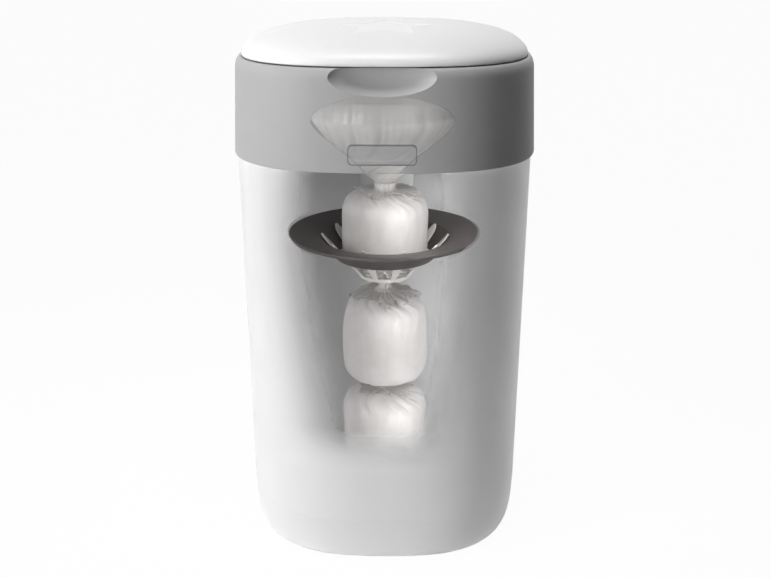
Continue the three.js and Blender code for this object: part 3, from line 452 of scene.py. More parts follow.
def times(tree, *parts):
    """Product of several values."""
    result = parts[0]
    for part in parts[1:]:
        result = add(tree, MATH, {0: result, 1: part}, operation="MULTIPLY")
    return result


def soft_step(tree, value, middle, soft):
    """0 below middle and 1 above it, with a soft edge. A negative soft turns it round."""
    return add(tree, RANGE, {
        "Value": value, 1: middle - soft / 2, 2: middle + soft / 2,
    }, interpolation_type="SMOOTHSTEP")


def front_half(tree, axes):
    return add(tree, MATH, {0: axes["Y"], 1: 0.0}, operation="LESS_THAN")


def front_mask(tree, axes, ends, end_soft, left, right, side_soft):
    """1 inside a shape drawn on the front wall, falling softly to 0 over its edges.

    left and right are (level, distance from the middle) pairs.
    """
    edges = []
    for sign, widths, blur in ((1, left, side_soft[0]), (-1, right, side_soft[1])):
        edge = width_ramp(tree, axes["Z"], ends, widths)
        inside = add(tree, MATH, {0: axes["X"], 1: sign, 2: edge}, operation="MULTIPLY_ADD")
        edges.append(soft_step(tree, inside, 0, blur))
    above = soft_step(tree, axes["Z"], ends[0], end_soft[0])
    below = soft_step(tree, axes["Z"], ends[1], -end_soft[1])
    return times(tree, front_half(tree, axes), above, below, *edges)


def front_ellipse(tree, axes, height, half, soft):
    """1 inside an ellipse drawn on the front wall, falling to 0 outside it over a share of its size."""
    flat = add(tree, "ShaderNodeCombineXYZ", {"X": axes["X"], "Y": axes["Z"]})
    placed = add(tree, VECTORS, {0: flat, 1: (0, -height, 0)}, operation="ADD")
    scaled = add(tree, VECTORS, {0: placed, 1: (1 / half[0], 1 / half[1], 0)}, operation="MULTIPLY")
    out = add(tree, VECTORS, {0: scaled}, operation="LENGTH").outputs["Value"]
    return times(tree, front_half(tree, axes), soft_step(tree, out, 1 + soft / 2, -soft))


def deeper_than(tree, axes, depth):
    """1 at points that lie more than a depth behind the collar's outer face."""
    powers = []
    for axis in ("X", "Y"):
        size = add(tree, MATH, {0: axes[axis]}, operation="ABSOLUTE")
        powers.append(add(tree, MATH, {0: size, 1: PLAN_EXPONENT}, operation="POWER"))
    total = add(tree, MATH, {0: powers[0], 1: powers[1]}, operation="ADD")
    out = add(tree, MATH, {0: total, 1: 1 / PLAN_EXPONENT}, operation="POWER")
    leant = add(tree, MATH, {0: axes["Z"], 1: COLLAR_SLOPE, 2: out}, operation="MULTIPLY_ADD")
    face = COLLAR_HALF + TUB_HEIGHT * COLLAR_SLOPE
    return add(tree, MATH, {0: leant, 1: face - depth}, operation="LESS_THAN")


def plate_gap_painted_shade(tree, axes):
    """1 in the thin gap round the name plate, where shade is painted."""
    out = add(tree, "ShaderNodeCombineXYZ", {"X": axes["X"], "Y": axes["Z"]})
    middle, half = (PLATE_LOW + PLATE_HIGH) / 2, (PLATE_HIGH - PLATE_LOW) / 2
    for step, value in (
        ("ADD", (0, -middle, 0)), ("ABSOLUTE", (0, 0, 0)),
        ("ADD", (PLATE_CORNER - PLATE_HALF, PLATE_CORNER - half, 0)), ("MAXIMUM", (0, 0, 0)),
    ):
        out = add(tree, VECTORS, {0: out, 1: value}, operation=step)
    out = add(tree, VECTORS, {0: out}, operation="LENGTH").outputs["Value"]
    near = add(tree, MATH, {0: out, 1: PLATE_CORNER + REST_GAP / 2, 2: RING_HALF}, operation="COMPARE")
    return times(tree, near, front_half(tree, axes))


def fade(tree, shader, mask):
    """Makes the surface see-through where the mask is 1."""
    alpha = add(tree, MATH, {0: 1.0, 1: mask}, operation="SUBTRACT")
    tree.links.new(alpha.outputs[0], shader.inputs["Alpha"])


def let_light_in(tree, mask, axes, most):
    """The mask, with a way in for lamp light through the front half of the wall, to light the inside."""
    shadow = add(tree, "ShaderNodeLightPath").outputs["Is Shadow Ray"]
    entry = times(tree, shadow, soft_step(tree, axes["Y"], ENTRY_END, -ENTRY_SOFT), most)
    return add(tree, MATH, {0: mask, 1: entry}, operation="MAXIMUM")


# Polypropylene, moulded: milky white with a satin skin. Its front fades to show the inside.
tub_plastic, tree, shader = moulded(
    "polypropylene_moulded_white", "#ebebeb", "#e4e4e5", 0.36, 1.2, 0.012, **milky(0.8, 12),
)
axes = axes_mm(tree)
window = front_mask(tree, axes, WINDOW_ENDS, WINDOW_END_SOFT, WINDOW_LEFT, WINDOW_RIGHT, WINDOW_SIDE_SOFT)
sight = front_ellipse(tree, axes, FLANGE_SIGHT, FLANGE_SIGHT_HALF, FLANGE_SIGHT_SOFT)
window = add(tree, MATH, {0: window, 1: sight}, operation="MAXIMUM")
fade(tree, shader, let_light_in(tree, window, axes, TUB_ENTRY))

# Polypropylene, moulded in mid grey: fine tool grain that dulls its gloss. Its front veils the film.
collar_plastic, tree, shader = moulded(
    "polypropylene_moulded_grey", "#acacac", "#a4a4a5", 0.5, 1.0, 0.02, **{"Specular IOR Level": 0.2},
)
axes = axes_mm(tree)
veil = front_mask(tree, axes, VEIL_ENDS, VEIL_END_SOFT, VEIL_LEFT, VEIL_RIGHT, VEIL_SIDE_SOFT)
scoop_half = (SCOOP[0] + VEIL_SCOOP_GAP, SCOOP[2] + VEIL_SCOOP_GAP)
scooped = front_ellipse(tree, axes, SCOOP_LEVEL, scoop_half, VEIL_SCOOP_SOFT)
outside = add(tree, MATH, {0: 1.0, 1: scooped}, operation="SUBTRACT")
share = add(tree, RANGE, {"Value": deeper_than(tree, axes, VEIL_SKIN), 3: VEIL_MOST, 4: 1.0})
# Painted shade in the thin gap round the name plate: the collar fades less there and turns dark grey,
# standing in for the shadow in its groove
ring = plate_gap_painted_shade(tree, axes)
open_ring = add(tree, MATH, {0: ring, 1: -RING_SHADE, 2: 1.0}, operation="MULTIPLY_ADD")
fade(tree, shader, let_light_in(tree, times(tree, veil, outside, share, open_ring), axes, 1.0))
vary(tree, shader, ring, (shader.inputs["Base Color"].links[0].from_socket, srgb("#6c6b6b")))

# ABS, moulded in a polished tool: clean white with a soft gloss
lid_plastic = moulded(
    "abs_moulded_gloss_white", "#f3f3f3", "#eeeeef", 0.42, 3.0, 0.006, gloss_swing=0.04,
    **{"Specular IOR Level": 0.3}, **milky(0.5, 10),
)[0]
# The same ABS, off a mirror-polished insert: sharper in its reflections, and whiter in colour than the lid, a
# painted sheen that stands in for the polished star's shine
star_plastic = moulded(
    "abs_polished_white_painted_sheen", "#fbfbfb", "#f8f8f8", 0.3, 4.0, 0.004, gloss_swing=0.02,
    **{"Specular IOR Level": 0.3}, **milky(0.5, 10),
)[0]
# ABS, moulded pale grey-white: even satin on the works under the lid
inner_plastic = moulded("abs_moulded_satin_white", "#e6e7e8", "#dfe0e1", 0.4, 1.0, 0.015)[0]
# The same, on the deck: its front edge fades where it would cross the veiled film
deck_plastic, tree, shader = moulded("abs_moulded_satin_white_deck", "#e6e7e8", "#dfe0e1", 0.4, 1.0, 0.015)
axes = axes_mm(tree)
across = add(tree, MATH, {0: axes["X"]}, operation="ABSOLUTE")
fade(tree, shader, times(
    tree, soft_step(tree, across, DECK_FADE_SIDE, DECK_FADE_SOFT),
    soft_step(tree, axes["Y"], DECK_FADE_FRONT, DECK_FADE_SOFT),
))
# ABS, moulded pale grey: the dial that hands turn, a little rubbed
dial_plastic = moulded("abs_moulded_pale_grey", "#d9dadb", "#cfd0d2", 0.38, 1.0, 0.015, flow_mm=25)[0]
# Glass-filled polypropylene, moulded warm dark grey: matt, with short streaks of fibre
flange_plastic = moulded("filled_polypropylene_dark", "#514c4b", "#605a58", 0.48, 0.9, 0.03, flow_mm=9)[0]
# Polyamide, moulded ivory: springy fingers with a waxy gloss
finger_plastic = moulded("polyamide_moulded_ivory", "#e9e7e3", "#dedbd6", 0.34, 0.8, 0.012, flow_mm=12)[0]
# Acetal, moulded off-white: slick and slightly waxy
pawl_plastic = moulded("acetal_moulded_offwhite", "#f2f1ec", "#e9e8e2", 0.4, 0.8, 0.01, flow_mm=8)[0]
# Thermoplastic rubber, moulded dark grey: matt and slightly dusty
seal_rubber = moulded("soft_rubber_moulded_dark", "#3c3c3c", "#474747", 0.8, 0.8, 0.03, flow_mm=8)[0]


def steel_surface():
    """Zinc-plated steel, turned: cool grey metal with patches of duller plating."""
    material, tree, shader = surface("steel_zinc_plated", "#b9bcc0", 0.3, Metallic=1.0)
    vary(tree, shader, noise_of(tree, 1.5), (srgb("#c3c5c8"), srgb("#a3a6ab")), Roughness=(0.24, 0.42))
    return material


def film_surface(name, color, shade, alpha, crease_mm):
    """Blown polyethylene film: milky, with fine upright creases that catch light."""
    material, tree, shader = surface(name, color, 0.34)
    vary(tree, shader, noise_of(tree, crease_mm, 4.0, FILM_STRETCH), (srgb(color), srgb(shade)), (0.9, 0.5),
         Alpha=(alpha - ALPHA_SWING, alpha + ALPHA_SWING))
    return material


def wrap_surface():
    """The same film drawn tight round a soft white nappy: pale, cool in its folds, with a thin wet gloss."""
    material, tree, shader = surface(
        "polyethylene_film_over_nappy", "#e9e7e6", 0.42,
        **{"Coat Weight": 0.15, "Coat Roughness": 0.35}, **milky(0.8, 18),
    )
    vary(tree, shader, noise_of(tree, 14, 4.0), (srgb("#efedec"), srgb("#dedad8")))
    vary(tree, shader, noise_of(tree, 3.5, 5.0, WRAP_STRETCH), relief=(0.8, 0.6))
    return material


steel = steel_surface()
film = film_surface("polyethylene_film_milky", "#e9e7e5", "#d9d6d4", 0.82, 6)
# The same film, slack in the frills: more see-through, and with painted light in a paler tone than the
# funnel's film, to lift the frills out of the shade beneath them
slack_film_painted_light = film_surface("polyethylene_film_slack_painted_light", "#f4f2f1", "#e9e6e4", 0.6, 4)
wrap = wrap_surface()


# Meshes

def piece(name, points, faces, *materials):
    """A mesh object from points in millimetres."""
    mesh = bpy.data.meshes.new(name)
    mesh.from_pydata((np.asarray(points, float) * MM).tolist(), [], faces)
    for material in materials:
        mesh.materials.append(material)
    made = bpy.data.objects.new(name, mesh)
    scene.collection.objects.link(made)
    return made


def points_of(made):
    return np.array([v.co for v in made.data.vertices]) / MM


def place_points(made, points):
    made.data.vertices.foreach_set("co", (points * MM).ravel())
    made.data.update()
    return made


def plan_share(angle):
    """Share of its half width that the bin's outline reaches at an angle."""
    across = np.abs(np.cos(angle)) ** PLAN_EXPONENT
    along = np.abs(np.sin(angle)) ** PLAN_EXPONENT
    return (across + along) ** (-1 / PLAN_EXPONENT)


CORNER_SHARE = float(plan_share(EIGHTH))
FILLET_SHARE = 0.48


def soften(corners, steps=4):
    """Rounds the corners of a closed profile: each is (radius, height) or (radius, height, fillet)."""
    points = []
    for i, corner in enumerate(corners):
        here = np.array(corner[:2], float)
        if len(corner) < 3:
            points.append(here)
            continue
        to_last = np.array(corners[i - 1][:2], float) - here
        to_next = np.array(corners[(i + 1) % len(corners)][:2], float) - here
        sides = np.linalg.norm(to_last), np.linalg.norm(to_next)
        to_last, to_next = to_last / sides[0], to_next / sides[1]
        half = math.acos(np.clip(to_last @ to_next, -1, 1)) / 2
        run = min(corner[2] / math.tan(half), FILLET_SHARE * sides[0], FILLET_SHARE * sides[1])
        middle = (to_last + to_next) / np.linalg.norm(to_last + to_next)
        centre = here + middle * run / math.cos(half)
        start, end = here + to_last * run - centre, here + to_next * run - centre
        opening = math.acos(np.clip(start @ end / (start @ start), -1, 1))
        for k in range(steps + 1):
            share = k / steps
            spoke = start * math.sin((1 - share) * opening) + end * math.sin(share * opening)
            points.append(centre + spoke / math.sin(opening))
    return [tuple(point) for point in points]


def lathe(name, profile, steps, *materials, squared=False, sweep=None):
    """Turns a closed anticlockwise profile round Z. With sweep=(from, to) it is a sector with closed ends."""
    angles = np.arange(steps) * TURN / steps if sweep is None else np.linspace(*sweep, steps)
    shares = plan_share(angles) if squared else np.ones(len(angles))
    points, rows = [], []
    for radius, height in profile:
        first = len(points)
        if radius < 1e-6:
            points.append((0, 0, height))
            rows.append([first] * steps)
            continue
        for angle, share in zip(angles, shares):
            points.append((radius * share * math.cos(angle), radius * share * math.sin(angle), height))
        rows.append(list(range(first, first + steps)))
    faces = []
    for low, high in zip(rows, rows[1:] + rows[:1]):
        for j in range(steps if sweep is None else steps - 1):
            k = (j + 1) % steps
            corners = list(dict.fromkeys((low[j], low[k], high[k], high[j])))
            if len(corners) > 2:
                faces.append(corners)
    if sweep is not None:
        faces.append([row[0] for row in rows])
        faces.append([row[-1] for row in rows][::-1])
    return piece(name, points, faces, *materials)


def prism(name, outline, low, high, *materials):
    """A flat XY outline, anticlockwise, drawn up from low to high."""
    count = len(outline)
    points = [(x, y, z) for z in (low, high) for x, y in outline]
    sides = [(i, (i + 1) % count, (i + 1) % count + count, i + count) for i in range(count)]
    caps = [list(range(count))[::-1], list(range(count, 2 * count))]
    return piece(name, points, sides + caps, *materials)


def oblong(left, right, front, back):
    return [(left, front), (right, front), (right, back), (left, back)]


def cross_rod(name, radius, x, width, *materials, chamfer=TRACE):
    """A rod on the hinge's line with eased ends."""
    made = lathe(name, soften([
        (0, -width / 2), (radius, -width / 2, chamfer), (radius, width / 2, chamfer), (0, width / 2),
    ], 3), 40, *materials)
    up = points_of(made)
    return place_points(made, np.column_stack([up[:, 2] + x, up[:, 1] + HINGE_Y, HINGE_Z - up[:, 0]]))


def ellipsoid(name, centre, half, *materials):
    angles = np.linspace(-QUARTER, QUARTER, 48)
    profile = [(max(math.cos(a), 0) if abs(a) < QUARTER - 1e-9 else 0, math.sin(a)) for a in angles]
    made = lathe(name, profile, 96, *materials)
    return place_points(made, points_of(made) * half + centre)


def rod(name, radius, low, high, x, y, *materials, steps=28):
    made = lathe(name, [(0, low), (radius, low), (radius, high), (0, high)], steps, *materials)
    made.data.transform(Matrix.Translation((x * MM, y * MM, 0)))
    return made


def polar(radius, angle):
    return radius * math.cos(angle), radius * math.sin(angle)


def circle_of(radius, first, count=4, step=QUARTER):
    """Places on a circle round the axis."""
    return [polar(radius, first + step * i) for i in range(count)]


def bead(outer, at, insets, drop, fillet):
    """Corners of a bead round a flat face at a level. insets are measured in from the face's outer edge."""
    first, second, third, last = [outer - inset for inset in insets]
    return (first, at), (second, at - drop, fillet), (third, at - drop, fillet), (last, at)


def bake(made):
    """Applies the modifiers of an object to its mesh and takes them off."""
    graph = bpy.context.evaluated_depsgraph_get()
    graph.update()
    mesh = bpy.data.meshes.new_from_object(made.evaluated_get(graph))
    made.modifiers.clear()
    old, made.data = made.data, mesh
    bpy.data.meshes.remove(old)
    return made


def combine(made, other, operation="DIFFERENCE"):
    """Cuts, joins or meets an object with another, which is used up."""
    tool = made.modifiers.new("combine", "BOOLEAN")
    tool.operation = operation
    tool.solver = "MANIFOLD"
    tool.object = other
    bake(made)
    bpy.data.objects.remove(other)
    return made


def drill(made, places, low, high, *materials):
    """Cuts a screw hole at each place, right through from low to high."""
    for x, y in places:
        combine(made, rod("hole", HOLE_RADIUS, low - CUT_OVER, high + CUT_OVER, x, y, *materials))


def settle(made, body, slot, *nodes, smooth=32):
    """Shades a finished mesh, gives it to its body and hides the CAD nodes that it stands for. slot, its
    finish, is not used.
    """
    made.data.name = made.name
    made.data.shade_smooth()
    made.data.set_sharp_from_angle(angle=math.radians(smooth))
    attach(made, body)
    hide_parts(*nodes)


# A tree that repeats one mesh round the axis

def ring_tree():
    tree = bpy.data.node_groups.new("ring_of_copies", "GeometryNodeTree")
    face = tree.interface
    for label, kind in (
        ("Copy", "NodeSocketGeometry"), ("Count", "NodeSocketInt"), ("First angle", "NodeSocketFloat"),
        ("Step angle", "NodeSocketFloat"), ("Finish", "NodeSocketMaterial"),
    ):
        face.new_socket(label, in_out="INPUT", socket_type=kind)
    face.new_socket("Ring", in_out="OUTPUT", socket_type="NodeSocketGeometry")
    given = add(tree, "NodeGroupInput").outputs
    angle = add(tree, MATH, {
        0: add(tree, "GeometryNodeInputIndex"), 1: given["Step angle"], 2: given["First angle"],
    }, operation="MULTIPLY_ADD")
    turn = add(tree, "FunctionNodeEulerToRotation", {0: add(tree, "ShaderNodeCombineXYZ", {"Z": angle})})
    points = add(tree, "GeometryNodePoints", {"Count": given["Count"]})
    copies = add(tree, "GeometryNodeInstanceOnPoints", {
        "Points": points, "Instance": given["Copy"], "Rotation": turn,
    })
    real = add(tree, "GeometryNodeRealizeInstances", {0: copies})
    finished = add(tree, "GeometryNodeSetMaterial", {"Geometry": real, "Material": given["Finish"]})
    add(tree, "NodeGroupOutput", {0: finished})
    return tree


RING = ring_tree()


def ring_of(made, count, first, material, step=None):
    """Turns one mesh into a ring of count copies of it round the axis."""
    tool = made.modifiers.new("ring", "NODES")
    tool.node_group = RING
    values = {
        "Count": count, "First angle": first, "Finish": material,
        "Step angle": TURN / count if step is None else step,
    }
    for item in RING.interface.items_tree:
        if item.in_out == "INPUT" and item.name in values:
            tool[item.identifier] = values[item.name]
    return bake(made)


# Tub

FOOT_STEPS, INNER_FOOT_STEPS, WALL_STEPS = 28, 20, 8


def foot_roll(half, bottom, steps):
    """Rolled foot, from the bottom up to the wall."""
    points = []
    for i in range(steps + 1):
        turn = QUARTER * (1 - i / steps)
        down = math.sin(turn) ** (2 / TUB_ROLL_EXPONENT)
        across = max(math.cos(turn), 0) ** (2 / TUB_ROLL_EXPONENT)
        points.append((half - TUB_FOOT_ROLL * (1 - across), bottom + (TUB_FOOT_HEIGHT - bottom) * (1 - down)))
    return points


def collar_outer(height):
    return COLLAR_HALF - (height - TUB_HEIGHT) * COLLAR_SLOPE


def collar_inner(height):
    return collar_outer(height) - COLLAR_WALL


def rim_outer(height):
    return collar_inner(height) - RIM_GAP


def make_tub():
    stand_inner = TUB_FOOT_HALF - TUB_FOOT_ROLL - STAND_WIDTH
    step = TUB_HEIGHT - REST_GAP
    crease = TUB_FOOT_HALF - CREASE_DEPTH
    wall = [(TUB_FOOT_HALF + (TUB_HALF - TUB_FOOT_HALF) * k / WALL_STEPS,
             TUB_FOOT_HEIGHT + (step - TUB_FOOT_HEIGHT) * k / WALL_STEPS) for k in range(1, WALL_STEPS)]
    tub = lathe("tub_wall", soften([
        (0, STAND_HEIGHT),
        (stand_inner - STAND_HEIGHT, STAND_HEIGHT, ROUND),
        (stand_inner, 0, EDGE),
        *foot_roll(crease, 0, FOOT_STEPS)[:-1],
        (crease, TUB_FOOT_HEIGHT - CREASE_BELOW, SMALL),
        (TUB_FOOT_HALF, TUB_FOOT_HEIGHT + CREASE_ABOVE, EDGE),
        *wall,
        (TUB_HALF, step, EDGE),
        (rim_outer(step), step, TRACE),
        (rim_outer(RIM_TOP), RIM_TOP, FIRM),
        (rim_outer(RIM_TOP) - TUB_WALL, RIM_TOP, FIRM),
        (rim_outer(step) - TUB_WALL, step, FIRM),
        (TUB_HALF - TUB_WALL, step - TUB_WALL, FIRM),
        *reversed(foot_roll(TUB_FOOT_HALF - TUB_WALL, TUB_FLOOR_TOP, INNER_FOOT_STEPS)),
        (0, TUB_FLOOR_TOP),
    ]), PLAN_STEPS, tub_plastic, squared=True)
    settle(tub, "tub", "tub_plastic", "tub_shell")


# Collar and its plate

SHOULDER_STEPS = 20
SHELF_HALF = collar_inner(SHELF_TOP) - SHELF_WIDTH
DECK_SCREWS = circle_of((SHELF_HALF + collar_inner(SHELF_TOP)) / 2 * CORNER_SHARE, EIGHTH)


def shoulder():
    turns = [polar(1, QUARTER * i / SHOULDER_STEPS) for i in range(SHOULDER_STEPS + 1)]
    return [(SHOULDER_HALF - SHOULDER_ROLL * (1 - across), SHOULDER_LEVEL + SHOULDER_RISE * up)
            for across, up in turns]


def filled_collar():
    """Everything inside the collar's outer face."""
    return lathe("blank", [
        (0, TUB_HEIGHT), (COLLAR_HALF, TUB_HEIGHT), *shoulder(), (0, COLLAR_TOP),
    ], PLAN_STEPS, squared=True)


def lip_core():
    """The room inside the lip, down past the scoop."""
    low = LIP_BOTTOM - SCOOP[2]
    return lathe("core", [
        (0, low), (LIP_HALF, low), (LIP_HALF, COLLAR_TOP + CUT_OVER), (0, COLLAR_TOP + CUT_OVER),
    ], PLAN_STEPS, squared=True)


def scoop_bowl(grow):
    return ellipsoid("bowl", (0, -SHOULDER_HALF, SCOOP_LEVEL), np.array(SCOOP) + grow, collar_plastic)


def plate_outline(grow):
    """Rounded rectangle in X and Z, anticlockwise seen from the front."""
    corner = PLATE_CORNER + grow
    low, high, right = PLATE_LOW - grow, PLATE_HIGH + grow, PLATE_HALF + grow
    points = []
    for centre_x, centre_z, first in (
        (right - corner, low + corner, -QUARTER), (right - corner, high - corner, 0),
        (corner - right, high - corner, QUARTER), (corner - right, low + corner, 2 * QUARTER),
    ):
        for k in range(PLATE_CORNER_STEPS + 1):
            x, z = polar(corner, first + QUARTER * k / PLATE_CORNER_STEPS)
            points.append((centre_x + x, centre_z + z))
    return points


def plate_prism(grow):
    made = prism("plate", plate_outline(grow), 0, COLLAR_HALF + CUT_OVER, collar_plastic)
    return place_points(made, points_of(made)[:, (0, 2, 1)] * (1, -1, 1))


def wall_band(deep, proud):
    low, high = PLATE_LOW - CUT_OVER, PLATE_HIGH + CUT_OVER
    return lathe("band", [
        (collar_outer(low) - deep, low), (collar_outer(low) + proud, low),
        (collar_outer(high) + proud, high), (collar_outer(high) - deep, high),
    ], PLAN_STEPS * 2, collar_plastic, squared=True)


def make_collar():
    ledge_half = collar_inner(LEDGE_TOP) - LEDGE_WIDTH
    collar = lathe("collar_band", soften([
        (collar_inner(TUB_HEIGHT), TUB_HEIGHT, SMALL),
        (COLLAR_HALF, TUB_HEIGHT, 0.9),
        *shoulder(),
        (LIP_HALF, COLLAR_TOP, ROUND),
        (LIP_HALF, LIP_BOTTOM, FIRM),
        (LIP_HALF + LIP_WALL, LIP_BOTTOM, FIRM),
        (LIP_HALF + LIP_WALL, COLLAR_TOP - COLLAR_WALL),
        (COLLAR_TOP_HALF - COLLAR_WALL, COLLAR_TOP - COLLAR_WALL, BROAD),
        (SHOULDER_HALF - COLLAR_WALL, SHOULDER_LEVEL),
        (collar_inner(SHELF_TOP), SHELF_TOP),
        (SHELF_HALF, SHELF_TOP, EDGE),
        (SHELF_HALF, SHELF_BOTTOM, EDGE),
        (collar_inner(SHELF_BOTTOM), SHELF_BOTTOM),
        (collar_inner(LEDGE_TOP), LEDGE_TOP),
        (ledge_half, LEDGE_TOP, SMALL),
        (ledge_half, LEDGE_BOTTOM, SMALL),
        (collar_inner(LEDGE_BOTTOM), LEDGE_BOTTOM),
    ], 5), PLAN_STEPS, collar_plastic, squared=True)
    pocket_radius, pocket_width = KNUCKLE_RADIUS + RUN_GAP + POCKET_WALL, KNUCKLE_WIDTH + 2 * POCKET_WALL
    for other in [scoop_bowl(SCOOP_WALL)] + [
        cross_rod("pocket", pocket_radius, x, pocket_width, collar_plastic) for x in HINGE_SIDES
    ]:
        combine(other, filled_collar(), "INTERSECT")
        combine(other, lip_core())
        combine(collar, other, "UNION")
    for x in HINGE_SIDES:
        for side in (-EAR_OFFSET, EAR_OFFSET):
            combine(collar, cross_rod("ear", KNUCKLE_RADIUS, x + side, EAR_WIDTH, collar_plastic), "UNION")
    combine(collar, scoop_bowl(0))
    for x in HINGE_SIDES:
        combine(collar, cross_rod("room", KNUCKLE_RADIUS + RUN_GAP, x, KNUCKLE_WIDTH + 2 * RUN_GAP))
        combine(collar, cross_rod("bore", PIN_RADIUS + REST_GAP, x, PIN_LENGTH + CUT_OVER))
    drill(collar, DECK_SCREWS, SHELF_BOTTOM, SHELF_TOP)
    combine(collar, combine(plate_prism(REST_GAP), wall_band(PLATE_SINK, CUT_OVER), "INTERSECT"))
    settle(collar, "top_section", "collar_plastic", "collar")


def make_plate():
    plate = combine(plate_prism(0), wall_band(PLATE_SINK - REST_GAP, PLATE_PROUD), "INTERSECT")
    plate.name = "bare_plate"
    settle(plate, "top_section", "collar_plastic", "name_plate")


# Lid, with its liner, seal and hinge pins

DOME_STEPS, INNER_DOME_STEPS, DOME_TOOL_STEPS = 48, 30, 40
BOSS_RADIUS = 3.6
LID_HOLE_DEPTH = 4.0
LINER_TOP = level("lid_liner", 1)
LINER_BOTTOM = LINER_TOP - 2.0
LINER_HALF = LIP_HALF - 6.0
LINER_SCREW_CIRCLE = (LINER_HALF - 14.0) * CORNER_SHARE
LINER_SCREWS = circle_of(LINER_SCREW_CIRCLE, EIGHTH)
LINER_BEAD, LINER_BEAD_DROP = (22, 24, 27, 29), 1.2
LINER_WALL = 2.0
LINER_INSET = 3.0
# Ribbed face of the seal: distance out from its inner side, rise and fillet
SEAL_RIBS = ((0, 0.4, 0.3), (1.0, 0, 0.3), (1.6, 0.35, 0.2), (2.2, 0, 0.3), (3.2, 0.4, 0.3))
SEAL_WIDTH = 3.2


def dome(half, rise, steps):
    points = []
    for i in range(steps + 1):
        turn = QUARTER * i / steps
        across = 0 if i == steps else math.cos(turn) ** (2 / DOME_EXPONENT)
        points.append((half * across, LID_BOTTOM + rise * math.sin(turn) ** (2 / DOME_EXPONENT)))
    return points


def filled_dome(drop):
    return lathe("dome", [(0, LID_BOTTOM), *dome(LID_HALF - drop, DOME_RISE - drop, DOME_TOOL_STEPS)],
                 PLAN_STEPS, star_plastic, squared=True)


def star_outline():
    """Plain five-pointed star with rounded tips and waists."""
    corners = []
    for i in range(10):
        radius = STAR_RADIUS * (1 if i % 2 == 0 else STAR_WAIST)
        corners.append(np.array(polar(radius, QUARTER + i * TURN / 10)) - (0, STAR_FORWARD))
    points = []
    for i, corner in enumerate(corners):
        enter = corner + (corners[i - 1] - corner) * STAR_TIP
        leave = corner + (corners[(i + 1) % 10] - corner) * STAR_TIP
        for k in range(STAR_TIP_STEPS + 1):
            t = k / STAR_TIP_STEPS
            points.append(tuple(enter * (1 - t) ** 2 + corner * 2 * t * (1 - t) + leave * t * t))
    return points


def make_lid():
    edge = [(LID_HALF - LID_EDGE + LID_EDGE * math.sin(a), LID_BOTTOM + LID_EDGE - LID_EDGE * math.cos(a))
            for a in np.linspace(0, QUARTER, 4)[:-1]]
    lid = lathe("lid_dome", [
        *reversed(dome(LID_HALF - LID_WALL, DOME_RISE - LID_WALL, INNER_DOME_STEPS)),
        *edge,
        *[point for point in dome(LID_HALF, DOME_RISE, DOME_STEPS) if point[1] > LID_BOTTOM + LID_EDGE],
    ], PLAN_STEPS, lid_plastic, star_plastic, squared=True)
    for x, y in LINER_SCREWS:
        boss = rod("boss", BOSS_RADIUS, LINER_TOP + REST_GAP, DOME_TOP, x, y, lid_plastic)
        combine(lid, combine(boss, filled_dome(LID_WALL / 2), "INTERSECT"), "UNION")
        drill(lid, [(x, y)], LINER_TOP, LINER_TOP + LID_HOLE_DEPTH)
    star = prism("star", star_outline(), LID_BOTTOM + DOME_RISE / 2, DOME_TOP + CUT_OVER, star_plastic)
    combine(lid, combine(star, filled_dome(STAR_DEPTH)))
    for x in HINGE_SIDES:
        for side in (-EAR_OFFSET, EAR_OFFSET):
            combine(lid, cross_rod("room", KNUCKLE_RADIUS + RUN_GAP, x + side, EAR_WIDTH + 2 * RUN_GAP))
        half = KNUCKLE_WIDTH / 2
        web = oblong(x - half, x + half, HINGE_Y - WEB_DEPTH, HINGE_Y)
        combine(lid, prism("web", web, HINGE_Z, HINGE_Z + KNUCKLE_RADIUS, lid_plastic), "UNION")
        combine(lid, cross_rod("barrel", KNUCKLE_RADIUS, x, KNUCKLE_WIDTH, lid_plastic), "UNION")
        combine(lid, cross_rod("bore", PIN_RADIUS + REST_GAP, x, PIN_LENGTH + CUT_OVER))
    settle(lid, "lid", "lid_plastic", "lid_shell")


def make_seal():
    low, high = level("lid_seal", 0), level("lid_seal", 1)
    inner = LIP_HALF + 1
    ribs = [(inner + out, low + rise, fillet) for out, rise, fillet in SEAL_RIBS]
    seal = lathe("lid_gasket", soften([*ribs, (inner + SEAL_WIDTH, high, TRACE), (inner, high, TRACE)], 3),
                 PLAN_STEPS, seal_rubber, squared=True)
    settle(seal, "lid", "seal_rubber", "lid_seal")


def make_hinge_pins():
    for node, x in zip(("hinge_pin_left", "hinge_pin_right"), HINGE_SIDES):
        pin = cross_rod(node + "_steel", PIN_RADIUS, x, PIN_LENGTH, steel, chamfer=SMALL)
        settle(pin, "top_section", "steel", node)


def make_liner():
    seat = level("lid_seal", 1) + REST_GAP
    liner = lathe("lid_tray", soften([
        (0, LINER_BOTTOM),
        *bead(LINER_HALF, LINER_BOTTOM, LINER_BEAD, LINER_BEAD_DROP, ROUND),
        (LINER_HALF - LINER_WALL, LINER_BOTTOM, BROAD),
        (LINER_HALF - LINER_WALL, seat, FIRM),
        (LID_HALF - LID_WALL - LINER_INSET, seat, EDGE),
        (LID_HALF - LID_WALL - LINER_INSET, seat + LINER_WALL, EDGE),
        (LINER_HALF, seat + LINER_WALL),
        (LINER_HALF, LINER_TOP, 2.5),
        (0, LINER_TOP),
    ], 5), PLAN_STEPS, inner_plastic, squared=True)
    drill(liner, LINER_SCREWS, LINER_BOTTOM, LINER_TOP)
    settle(liner, "lid", "inner_plastic", "lid_liner")


# Deck, retainer, dial and cassette

